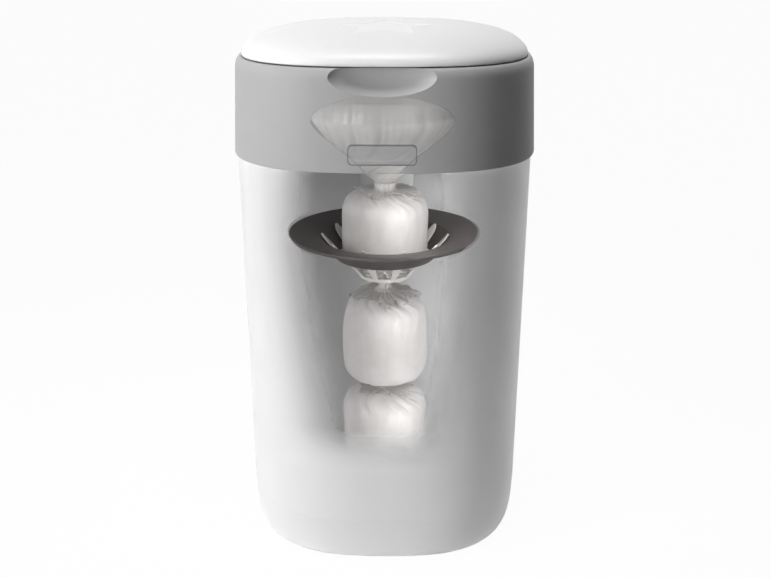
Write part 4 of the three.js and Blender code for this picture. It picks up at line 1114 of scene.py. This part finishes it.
RETAINER_EAR = 1.2
POSTS = circle_of(POST_CIRCLE, POST_FIRST)
GRIP_BOTTOM = RETAINER_TOP + 2.8
GRIP_ROLL = 3.0
MOUTH_ROLL = 1.5
BITES, BITE_RADIUS, BITE_DEPTH = 12, 7.0, 2.4
TEETH, TOOTH_HEIGHT, TOOTH_LAG, TOOTH_START = 36, 4.5, 0.08, 0.16
PAWL_ANGLE = EIGHTH + math.radians(11)
LUG_ROOT = 1.1
LUG, NOTCH = (2.2, 4.0, 6.0), (2.7, 4.5, 6.2)
COVER_RIM = 2.2
COVER_THICK = 1.8
COVER_BEAD, COVER_BEAD_DROP = (6, 7, 9, 10), 0.6
FILM_LAYERS, FILM_LAYER_STEP = 14, 0.5


def make_deck():
    half = collar_inner(DECK_TOP) - 0.6
    deck = lathe("works_deck", soften([
        (0, DECK_BOTTOM), (half, DECK_BOTTOM, SMALL), (half, DECK_TOP, SMALL), (0, DECK_TOP),
    ]), PLAN_STEPS, deck_plastic, squared=True)
    mouth = rod("mouth", DECK_MOUTH, DECK_BOTTOM - CUT_OVER, DECK_TOP + CUT_OVER, 0, 0, deck_plastic,
                steps=ROUND_STEPS)
    combine(deck, mouth)
    combine(deck, lathe("hub", soften([
        (DIAL_MOUTH, DECK_TOP - HUB_SINK), (HUB_OUTER, DECK_TOP - HUB_SINK),
        (HUB_OUTER, HUB_TOP, EDGE), (DIAL_MOUTH, HUB_TOP, EDGE),
    ]), ROUND_STEPS, inner_plastic), "UNION")
    for x, y in POSTS:
        post = rod("post", POST_RADIUS, DECK_TOP - HUB_SINK, RETAINER_BOTTOM - REST_GAP, x, y, inner_plastic)
        combine(deck, post, "UNION")
    drill(deck, POSTS, DECK_BOTTOM, RETAINER_BOTTOM, inner_plastic)
    drill(deck, DECK_SCREWS, DECK_BOTTOM, DECK_TOP, inner_plastic)
    settle(deck, "top_section", "inner_plastic", "inner_deck")


def make_retainer():
    inner, outer = SKIRT_OUTER + RUN_GAP, TOOTH_TIP + RETAINER_REACH
    ring = lathe("hold_down_ring", soften([
        (inner, RETAINER_BOTTOM, THIN), (outer, RETAINER_BOTTOM, THIN),
        (outer, RETAINER_TOP, 0.7), (inner, RETAINER_TOP, 0.7),
    ]), ROUND_STEPS, inner_plastic)
    for x, y in POSTS:
        ear = rod("ear", POST_RADIUS + RETAINER_EAR, RETAINER_BOTTOM, RETAINER_TOP, x, y, inner_plastic)
        combine(ring, ear, "UNION")
    drill(ring, POSTS, RETAINER_BOTTOM, RETAINER_TOP, inner_plastic)
    settle(ring, "top_section", "inner_plastic", "dial_retainer")


def make_dial():
    low = DECK_TOP + RUN_GAP
    hub_clear = HUB_TOP + RUN_GAP
    dial = lathe("dial_ring", soften([
        (SKIRT_INNER, low, THIN),
        (SKIRT_OUTER, low, THIN),
        (SKIRT_OUTER, GRIP_BOTTOM, ROUND),
        (DIAL_OUTER, GRIP_BOTTOM + GRIP_ROLL, 1.2),
        (DIAL_OUTER, DIAL_TOP - GRIP_ROLL, BROAD),
        (DIAL_OUTER - GRIP_ROLL, DIAL_TOP, BROAD),
        (DIAL_MOUTH + MOUTH_ROLL, DIAL_TOP, ROUND),
        (DIAL_MOUTH, DIAL_TOP - MOUTH_ROLL, FIRM),
        (DIAL_MOUTH, hub_clear, THIN),
        (SKIRT_INNER, hub_clear, THIN),
    ], 5), ROUND_STEPS, dial_plastic)
    bite = rod("bite", BITE_RADIUS, GRIP_BOTTOM - CUT_OVER, DIAL_TOP + CUT_OVER,
               DIAL_OUTER + BITE_RADIUS - BITE_DEPTH, 0, dial_plastic, steps=40)
    combine(dial, ring_of(bite, BITES, QUARTER, dial_plastic))
    step = TURN / TEETH
    drop = step * TOOTH_LAG
    tooth = prism("tooth", [
        polar(SKIRT_OUTER - 1, -drop), polar(TOOTH_ROOT, -drop), polar(TOOTH_TIP, 0),
        polar(TOOTH_ROOT, step - drop), polar(SKIRT_OUTER - 1, step - drop),
    ], low, low + TOOTH_HEIGHT, dial_plastic)
    combine(dial, ring_of(tooth, TEETH, PAWL_ANGLE + step * TOOTH_START, dial_plastic), "UNION")
    combine(dial, lug_ring("notch", NOTCH, DIAL_TOP + CUT_OVER, dial_plastic))
    settle(dial, "dial", "dial_plastic", "twist_ring")


def lug_ring(name, size, high, material):
    """Three blocks across the cassette's outer face. size is their reach, half width and drop."""
    reach_out, half, drop = size
    block = oblong(CASSETTE_OUTER - LUG_ROOT, CASSETTE_OUTER + reach_out, -half, half)
    return ring_of(prism(name, block, CASSETTE_TOP - drop, high, material), 3, QUARTER, material)


def make_cassette():
    floor_top = CASSETTE_BOTTOM + CASSETTE_WALL
    body = lathe("cassette_tray", soften([
        (CASSETTE_MOUTH, CASSETTE_BOTTOM, EDGE),
        (CASSETTE_OUTER, CASSETTE_BOTTOM, 1.2),
        (CASSETTE_OUTER, CASSETTE_TOP, SMALL),
        (CASSETTE_OUTER - CASSETTE_WALL, CASSETTE_TOP, SMALL),
        (CASSETTE_OUTER - CASSETTE_WALL, floor_top, FIRM),
        (SLOT_INNER, floor_top, FIRM),
        (SLOT_INNER, GUIDE_TOP, FIRM),
        (CASSETTE_MOUTH, GUIDE_TOP, FIRM),
    ]), ROUND_STEPS, inner_plastic)
    combine(body, lug_ring("lug", LUG, CASSETTE_TOP, inner_plastic), "UNION")
    settle(body, "dial", "inner_plastic", "cassette_body")
    low = CASSETTE_TOP + REST_GAP
    high = low + COVER_THICK
    inner = SLOT_INNER + COVER_RIM
    cover = lathe("cassette_lid", soften([
        (inner, low, THIN), (CASSETTE_OUTER, low, THIN), (CASSETTE_OUTER, high, FIRM),
        *bead(CASSETTE_OUTER, high, COVER_BEAD, COVER_BEAD_DROP, TRACE), (inner, high, FIRM),
    ]), ROUND_STEPS, inner_plastic)
    settle(cover, "dial", "inner_plastic", "cassette_cover")


def make_film_pack():
    """Film folded in a stack: its edges show as fine layers."""
    low, high = level("film_pack", 0), level("film_pack", 1)
    inner, outer = SLOT_INNER + REST_GAP, CASSETTE_OUTER - CASSETTE_WALL - REST_GAP
    rise = (high - low) / FILM_LAYERS
    folds_up = [(FILM_LAYER_STEP if k % 2 else 0, low + rise * k / 2) for k in range(2 * FILM_LAYERS + 1)]
    pack = lathe("folded_film", [(outer - inset, z) for inset, z in folds_up]
                 + [(inner + inset, z) for inset, z in reversed(folds_up)], ROUND_STEPS, film)
    settle(pack, "dial", "film", "film_pack")


# Film that hangs from the cassette as a pleated funnel

FUNNEL_STEPS, FUNNEL_ROWS, LINE_STEPS = 288, 120, 24
FUNNEL_THICK = 0.35
# How the cone draws in: share of its width against share of its drop
FUNNEL_FALL = ((0.44, 0.5), (0.77, 0.8), (0.95, 0.94))
FUNNEL_FOLDS = ((0.5, 13, 0.7), (0.3, 21, 2.1), (0.2, 34, 4.0))
SLACK_RUN, SLACK_DEPTH, GATHER_DEPTH, GATHER_TWIST = 30.0, 0.034, 0.15, 1.6
TUCK_DROP, HEM_THICK = 4.6, 0.4


def smooth_line(points, count):
    """Even points along a smooth line through the given ones."""
    points = np.array(points, float)
    ends = np.vstack([2 * points[0] - points[1], points, 2 * points[-1] - points[-2]])
    line = []
    for i in range(len(points) - 1):
        a, b, c, d = ends[i:i + 4]
        for t in np.linspace(0, 1, LINE_STEPS, endpoint=False):
            line.append(0.5 * (2 * b + (c - a) * t + (2 * a - 5 * b + 4 * c - d) * t * t
                               + (3 * b - a - 3 * c + d) * t ** 3))
    line = np.array([*line, points[-1]])
    along = np.concatenate([[0], np.cumsum(np.linalg.norm(np.diff(line, axis=0), axis=1))])
    even = np.linspace(0, along[-1], count)
    return np.column_stack([np.interp(even, along, line[:, k]) for k in range(line.shape[1])])


def sheet_faces(rows, steps, start=0, closed=False):
    faces = []
    for i in range(rows if closed else rows - 1):
        low, high = start + i * steps, start + (i + 1) % rows * steps
        for j in range(steps):
            k = (j + 1) % steps
            faces.append((low + j, low + k, high + k, high + j))
    return faces


def folds(angle, rows):
    """Mixed folds, from 0 to 1, with ridges sharper than valleys. rows are shares, counts and phases."""
    return sum(share * np.abs(np.sin((angle * count + phase) / 2)) ** 0.6 for share, count, phase in rows)


def hoop(radius, height, angles):
    return np.column_stack([radius * np.cos(angles), radius * np.sin(angles), np.full(len(angles), height)])


def make_funnel():
    angles = np.arange(FUNNEL_STEPS) * TURN / FUNNEL_STEPS
    outer = FUNNEL_RADIUS
    drop = FUNNEL_RIM - FUNNEL_BOTTOM
    line = smooth_line([
        (outer, GUIDE_TOP + REST_GAP - 0.2), (outer, FUNNEL_RIM + 20), (outer - 0.2, FUNNEL_RIM + 4),
        *[(outer - (outer - NECK_RADIUS) * across, FUNNEL_RIM - drop * down) for across, down in FUNNEL_FALL],
        (NECK_RADIUS, FUNNEL_BOTTOM + REST_GAP),
    ], FUNNEL_ROWS)
    rows = []
    for radius, height in line:
        slack = np.clip((CASSETTE_BOTTOM - height) / SLACK_RUN, 0, 1)
        gather = np.clip((FUNNEL_RIM + 6 - height) / drop, 0, 1)
        depth = radius * (SLACK_DEPTH * slack + GATHER_DEPTH * gather)
        fold = folds(angles + GATHER_TWIST * gather ** 3, FUNNEL_FOLDS)
        rows.append(hoop(radius - depth * (1 - fold), height, angles))
    wall = np.array(rows)
    inner = wall.copy()
    spans = np.linalg.norm(wall[:, :, :2], axis=2, keepdims=True)
    inner[:, :, :2] *= (spans - FUNNEL_THICK) / spans
    tuck, hem = SLOT_INNER + REST_GAP, FUNNEL_TOP - HEM_THICK
    back_and_over = [hoop(radius, height, angles) for radius, height in (
        (outer, hem), (tuck, hem), (tuck, FUNNEL_TOP - TUCK_DROP),
        (tuck + FUNNEL_THICK, FUNNEL_TOP - TUCK_DROP), (tuck + FUNNEL_THICK, FUNNEL_TOP),
        ((tuck + outer) / 2, FUNNEL_TOP), (outer - FUNNEL_THICK, FUNNEL_TOP - 0.05),
    )]
    loop = np.concatenate([wall[::-1], back_and_over, inner])
    faces = sheet_faces(len(loop), FUNNEL_STEPS, closed=True)
    funnel = piece("film_skirt", loop.reshape(-1, 3), faces, film)
    settle(funnel, "dial", "film", "film_funnel", smooth=70)


# Flange, bracket and gripper

FINGERS = 10
RING_INNER, RING_OUTER, RING_MIDDLE = 19.5, 23.5, 21.5
FINGER_THICK, TONGUE_THICK = 1.6, 2.0
FINGER_WIDEST = 9.6
FINGER_WIDTHS = (4.4, 4.4, 4.9, 8.3, FINGER_WIDEST, 8.2, 2.6)
FINGER_SHARES = (0.04, 0.35, 0.62, 0.86)
FINGER_TIP_INSET = 0.8
CONE_SAG = 0.32
TONGUE_REACH = ((7.2, 1.6), (8.4, 3.0), (13, 3.2), (RING_MIDDLE, 3.2))
BRACKET_HALF = math.radians(17)


def flange_under(radius):
    return FLANGE_LEVEL - (FLANGE_RADIUS - radius) * RIM_SLOPE - FLANGE_THICK


def pair_of(radius):
    """Places of a screw and its twin, each side of the bracket's middle."""
    return circle_of(radius, QUARTER - SCREW_PAIR / 2, 2, SCREW_PAIR)


def make_flange():
    away, down = FLANGE_THICK * CONE_SLOPE / CONE_LENGTH, FLANGE_THICK / CONE_LENGTH
    end = FLANGE_KNEE - (FLANGE_KNEE - FLANGE_THROAT) * FLANGE_CONE_SHARE
    end_level = KNEE_LEVEL - (KNEE_LEVEL - THROAT_LEVEL) * FLANGE_CONE_SHARE
    flange = lathe("dished_flange", soften([
        (end, end_level, FIRM),
        (end + away, end_level - down, FIRM),
        (FLANGE_KNEE + away / 2, KNEE_LEVEL - FLANGE_THICK, 3),
        (FLANGE_RADIUS - FLANGE_THICK, flange_under(FLANGE_RADIUS), EDGE),
        (FLANGE_RADIUS - FLANGE_THICK, FLANGE_LEVEL - FLANGE_LIP, 0.7),
        (FLANGE_RADIUS, FLANGE_LEVEL - FLANGE_LIP, FIRM),
        (FLANGE_RADIUS, FLANGE_LEVEL, 1.1),
        (FLANGE_KNEE, KNEE_LEVEL, 2.5),
    ], 6), ROUND_STEPS, flange_plastic)
    drill(flange, pair_of(FLANGE_SCREW_CIRCLE), KNEE_LEVEL - 2 * FLANGE_THICK, FLANGE_LEVEL)
    settle(flange, "top_section", "flange_plastic", "holder_flange")


def make_bracket():
    top = DECK_BOTTOM - REST_GAP
    tab_bottom = top - BRACKET_WALL
    foot_inner = BRACKET_INNER - 11
    foot_top = flange_under(foot_inner) - REST_GAP
    edge_top = FLANGE_LEVEL - FLANGE_LIP - REST_GAP
    foot_bottom = min(foot_top, edge_top) - BRACKET_WALL
    outer = BRACKET_INNER + BRACKET_WALL
    hook = FLANGE_RADIUS - FLANGE_THICK - RUN_GAP
    bracket = lathe("flange_hanger", soften([
        (foot_inner, foot_bottom, EDGE), (outer, foot_bottom, BROAD), (outer, tab_bottom, ROUND),
        (outer + BRACKET_TAB, tab_bottom, EDGE), (outer + BRACKET_TAB, top, EDGE),
        (BRACKET_INNER, top, BROAD), (BRACKET_INNER, edge_top, TRACE),
        (hook, edge_top), (hook, foot_top), (foot_inner, foot_top, EDGE),
    ]), 40, tub_plastic, sweep=(QUARTER - BRACKET_HALF, QUARTER + BRACKET_HALF))
    drill(bracket, pair_of(FLANGE_SCREW_CIRCLE), foot_bottom, foot_top)
    drill(bracket, pair_of(outer + BRACKET_TAB / 2), tab_bottom, top)
    settle(bracket, "top_section", "tub_plastic", "hanger_bracket")


def swept_strip(name, controls, count, thickness, around=16):
    """A flat strip with round edges. controls are its reach, height and width at places along it."""
    along = smooth_line(controls, count)
    line, widths = along[:, :2], along[:, 2]
    ways = np.gradient(line, axis=0)
    ways /= np.linalg.norm(ways, axis=1, keepdims=True)
    turns = np.arange(around) * TURN / around
    across = np.sign(np.cos(turns)) * np.abs(np.cos(turns)) ** 0.8
    up = np.sign(np.sin(turns)) * np.abs(np.sin(turns)) ** 0.6
    points = []
    for (x, z), (wx, wz), width in zip(line, ways, widths):
        lift = up * min(thickness, width) / 2
        points.extend(zip(x - wz * lift, across * width / 2, z + wx * lift))
    faces = [(a, d, c, b) for a, b, c, d in sheet_faces(count, around)]
    faces += [tuple(range(around)), tuple(range((count - 1) * around, count * around))[::-1]]
    return piece(name, points, faces, finger_plastic)


def make_gripper():
    bow = FINGER_WIDEST ** 2 / (4 * (FLANGE_KNEE + FLANGE_THROAT))
    lift = REST_GAP + bow + CONE_SAG + FINGER_THICK / 2
    inward, up = lift * CONE_SLOPE / CONE_LENGTH, lift / CONE_LENGTH

    def on_cone(share):
        return (FLANGE_THROAT + (FLANGE_KNEE - FLANGE_THROAT) * share - inward,
                THROAT_LEVEL + (KNEE_LEVEL - THROAT_LEVEL) * share + up)

    root = ((RING_MIDDLE + FLANGE_THROAT - inward) / 2, (GRIP_MIDDLE + THROAT_LEVEL) / 2)
    tip = on_cone(1)
    end = (tip[0] - FINGER_TIP_INSET, tip[1])
    line = [(RING_MIDDLE, GRIP_MIDDLE), root, *map(on_cone, FINGER_SHARES), end]
    finger = swept_strip("petals", [(*at, width) for at, width in zip(line, FINGER_WIDTHS)], 34, FINGER_THICK)
    fingers = ring_of(finger, FINGERS, 0, finger_plastic)
    grip_top = GRIP_LEVEL + GRIP_HEIGHT
    ring = lathe("gripper_petals", soften([
        (RING_INNER, GRIP_LEVEL, EDGE), (RING_OUTER, GRIP_LEVEL, EDGE),
        (RING_OUTER, grip_top, EDGE), (RING_INNER, grip_top, EDGE),
    ]), 96, finger_plastic)
    tongue = swept_strip("tongues", [(x, GRIP_MIDDLE, width) for x, width in TONGUE_REACH], 14, TONGUE_THICK)
    tongues = ring_of(tongue, FINGERS, TURN / FINGERS / 2, finger_plastic)
    combine(ring, fingers, "UNION")
    combine(ring, tongues, "UNION")
    settle(ring, "top_section", "finger_plastic", "gripper_fingers")


# Wrapped nappies: pleated film that is gathered and twisted at each end

FRILL_REACH = 21.0
FRILL_SWING = 11.0
FRILL_ROWS = 26
FRILL_THICK = 0.4
FRILL_LIFT = 1.5
WRAP_STEPS, WRAP_ROWS = 240, 190
# Outlines from the foot to the neck: share of the radius against share of the height
BODY_1 = ((0.62, 0.012), (0.86, 0.085), (0.97, 0.16), (1, 0.27), (1, 0.66), (0.97, 0.79), (0.88, 0.9),
          (0.66, 0.968), (0.34, 0.99))
BODY_2 = ((0.5, 0.02), (0.8, 0.06), (0.95, 0.14), (1, 0.26), (0.99, 0.6), (0.95, 0.76), (0.86, 0.885),
          (0.66, 0.957), (0.36, 0.985))
BODY_3 = ((0.36, 0.01), (0.72, 0.045), (0.93, 0.13), (1, 0.28), (1, 0.68), (0.97, 0.82), (0.88, 0.915),
          (0.66, 0.965), (0.34, 0.99))


def crumple(points, size_mm, seed):
    return np.array([
        noise.noise(Vector((x / size_mm + seed, y / size_mm, z / size_mm))) for x, y, z in points
    ])


def frill(skin, angles, seed):
    """Slack film gathered at the neck, that lies over a bundle's top with an uneven hem.

    skin holds the bundle's rows from the neck down. The rows that come back run round the frill's section.
    """
    circle = hoop(1, seed, angles)
    hem = FRILL_REACH + FRILL_SWING * (crumple(circle, 0.55, seed + 2) + 0.5 * crumple(circle, 0.2, seed + 4))
    shares = np.linspace(0, 1, FRILL_ROWS)[:, None]
    at = np.clip(shares * hem, 0, len(skin) - 2)
    low = at.astype(int)
    column = np.arange(len(angles))
    part = (at - low)[:, :, None]
    base = skin[low, column] * (1 - part) + skin[low + 1, column] * part
    along = np.gradient(base, axis=0)
    across = (np.roll(base, -1, axis=1) - np.roll(base, 1, axis=1)) / 2
    out = np.cross(across, along)
    out /= np.maximum(np.linalg.norm(out, axis=2, keepdims=True), 1e-6)
    out *= np.sign(out[:, :, 2:] + 1e-9)
    fold = folds(angles, ((0.6, 19, seed + 1.0), (0.4, 31, seed * 2 + 0.4)))
    curl = np.maximum(crumple(circle, 0.3, seed + 7) + 0.6, 0)
    lift = REST_GAP + FRILL_LIFT * shares * fold + FRILL_LIFT * shares ** 3 * curl
    under = base + out * lift[:, :, None]
    over = under + out * FRILL_THICK
    return np.concatenate([over[::-1], under])


def wrapped(name, controls, necks, body, node, seed):
    """A bundle from its outline, bottom to top.

    Each of its necks is a gather: its height, reach, count of folds, depth and twist.
    """
    line = smooth_line(controls, WRAP_ROWS)
    line[0, 0] = line[-1, 0] = 0
    angles = np.arange(WRAP_STEPS) * TURN / WRAP_STEPS
    points = []
    for radius, height in line[1:-1]:
        shape = np.full(WRAP_STEPS, float(radius))
        for at, spread, count, depth, twist in necks:
            near = math.exp(-((height - at) / spread) ** 2)
            fold = folds(angles + twist * near, (
                (0.45, count, seed), (0.33, count * 1.5 // 1, seed * 2 + 1),
                (0.22, count * 2 + 3, seed * 3 + 2),
            ))
            shape -= radius * depth * near * (1 - fold)
        points.append(hoop(shape, height, angles))
    cloud = np.array(points).reshape(-1, 3)
    spans = np.maximum(np.linalg.norm(cloud[:, :2], axis=1), 1e-3)
    soft = np.clip(spans / line[:, 0].max(), 0, 1)
    swell = 1.5 * crumple(cloud * (1, 1, 0.6), 22, seed) + 0.55 * crumple(cloud * (1, 1, 0.35), 7, seed + 5)
    cloud[:, :2] *= (1 + (swell - 0.9) * soft / spans)[:, None]
    count = len(points)
    faces = sheet_faces(count, WRAP_STEPS)
    bottom, top = len(cloud), len(cloud) + 1
    last = (count - 1) * WRAP_STEPS
    for j in range(WRAP_STEPS):
        k = (j + 1) % WRAP_STEPS
        faces += [(bottom, k, j), (top, last + j, last + k)]
    ends = [(0, 0, line[0, 1]), (0, 0, line[-1, 1])]
    skin = cloud.reshape(count, WRAP_STEPS, 3)[::-1]
    start = int(np.argmax(line[::-1][1:-1, 0] > NECK_RADIUS + 2))
    ruffle = frill(skin[start:], angles, seed)
    wrap_faces = len(faces)
    faces += sheet_faces(len(ruffle), WRAP_STEPS, start=len(cloud) + 2, closed=True)
    made = piece(name, np.vstack([cloud, ends, ruffle.reshape(-1, 3)]), faces, wrap, slack_film_painted_light)
    made.data.polygons.foreach_set("material_index", [0] * wrap_faces + [1] * (len(faces) - wrap_faces))
    settle(made, body, "wrapped_film", node, smooth=80)


def outline(shares, radius, low, high):
    return [(radius * across, low + (high - low) * up) for across, up in shares]


def make_bundles():
    foot, neck = level("wrapped_bundle_1", 0), FUNNEL_BOTTOM - 7
    wrapped("nappy_bundle_1", [
        (0, foot + 0.1), (5.5, foot + 0.2), (8.0, foot + 1.2), *outline(BODY_1, 38.6, foot + 1, neck),
        (NECK_RADIUS, neck + 1.0), (NECK_RADIUS, FUNNEL_BOTTOM - 0.6), (0, FUNNEL_BOTTOM - 0.35),
    ], [(neck + 2, 9, 12, 0.34, 0.5), (foot, 6, 12, 0.25, 0.3)], "top_section", "wrapped_bundle_1", 1.3)
    foot, neck, swing = level("wrapped_bundle_2", 0), GRIP_LEVEL - 13, GRIP_MIDDLE
    wrapped("nappy_bundle_2", [
        (0, foot + 0.1), (6.4, foot + 0.2), (6.6, foot + 2), *outline(BODY_2, 38.9, foot + 3, neck),
        (6.6, neck + 2), (6.0, neck + 9), (6.4, swing - 1), (5.0, swing + 4.6), (0, swing + 6.4),
    ], [(neck + 1, 11, 12, 0.42, 0.6), (foot + 1, 7, 11, 0.3, 0.4)], "chain", "wrapped_bundle_2", 2.7)
    foot, neck = level("wrapped_bundle_3", 0), level("wrapped_bundle_3", 1)
    wrapped("nappy_bundle_3", [
        (0, foot + 0.2), *outline(BODY_3, 39.5, foot, neck - 3),
        (6.6, neck - 2), (6.4, neck - 0.5), (0, neck - 0.2),
    ], [(neck - 1, 11, 12, 0.4, 0.5)], "chain", "wrapped_bundle_3", 4.1)


# Screws, as rings of one screw with a cross recess

SCREW_SHAFT, SCREW_HEAD, SCREW_HEAD_HEIGHT = 1.45, 3.0, 2.0
SCREW_LENGTH, SHORT_SCREW_LENGTH = 7.5, 6.1
CROSS_HALF, CROSS_ARM, CROSS_FLOOR = 1.6, 0.3, 1.0


def pan_screw(x, seat, length, flip):
    """One screw with its head's seat at the given place. flip points its head down."""
    screw = lathe("screw", soften([
        (0, -length), (0.9, -length, TRACE), (SCREW_SHAFT, -length + 1.6, TRACE), (SCREW_SHAFT, 0, 0.2),
        (SCREW_HEAD, 0, TRACE), (SCREW_HEAD, 1.0, EDGE), (2.0, 1.9, FIRM), (0, SCREW_HEAD_HEIGHT),
    ], 3), 28, steel)
    for cos, sin in ((1, 0), (0, 1)):
        arm = [(a * cos - b * sin, a * sin + b * cos)
               for a, b in oblong(-CROSS_HALF, CROSS_HALF, -CROSS_ARM, CROSS_ARM)]
        combine(screw, prism("slot", arm, CROSS_FLOOR, SCREW_HEAD_HEIGHT + 1, steel))
    if flip:
        place_points(screw, points_of(screw) * (1, -1, -1))
    screw.data.transform(Matrix.Translation((x * MM, 0, seat * MM)))
    return screw


def make_screws():
    tab_seat = DECK_BOTTOM - REST_GAP - BRACKET_WALL - REST_GAP
    tab_circle = BRACKET_INNER + BRACKET_WALL + BRACKET_TAB / 2
    pair_first = QUARTER - SCREW_PAIR / 2
    deck_circle = math.hypot(*DECK_SCREWS[0])
    for name, node, count, circle, first, step, seat, length, flip in (
        ("deck_screws", "deck_screw", 4, deck_circle, EIGHTH, None, DECK_TOP + REST_GAP, SCREW_LENGTH, False),
        ("ring_screws", "retainer_screw", 4, POST_CIRCLE, POST_FIRST, None,
         RETAINER_TOP + REST_GAP, SCREW_LENGTH, False),
        ("hanger_screws", "bracket_screw", 2, tab_circle, pair_first, SCREW_PAIR,
         tab_seat, SHORT_SCREW_LENGTH, True),
        ("flange_screws", "flange_screw", 2, FLANGE_SCREW_CIRCLE, pair_first, SCREW_PAIR,
         level("flange_screw_1", 1) - SCREW_HEAD_HEIGHT, SCREW_LENGTH, False),
        ("tray_screws", "liner_screw", 4, LINER_SCREW_CIRCLE, EIGHTH, None,
         LINER_BOTTOM - REST_GAP, SCREW_LENGTH, True),
    ):
        ring = ring_of(pan_screw(circle, seat, length, flip), count, first, steel, step)
        ring.name = name
        body = "lid" if node == "liner_screw" else "top_section"
        settle(ring, body, "steel", *[f"{node}_{i + 1}" for i in range(count)])


# Making every piece

for make in (
    make_tub, make_collar, make_plate, make_lid, make_seal, make_hinge_pins, make_deck, make_retainer,
    make_dial, make_cassette, make_film_pack, make_liner, make_funnel, make_flange, make_bracket,
    make_gripper, make_bundles, make_screws,
):
    make()

# CAD nodes that keep their own shape
for name, finish in (
    ("cutter_housing", inner_plastic), ("cutter_blade", steel),
    ("click_pawl", pawl_plastic), ("pawl_pin", steel),
):
    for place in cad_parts[name].material_slots:
        place.material = finish


# Floor

FLOOR_HALF = 30_000.0


def make_floor():
    corners = [(x, y, 0) for x, y in oblong(-FLOOR_HALF, FLOOR_HALF, -FLOOR_HALF, FLOOR_HALF)]
    floor = piece("floor", corners, [(0, 1, 2, 3)], floor_paint())


make_floor()
background()
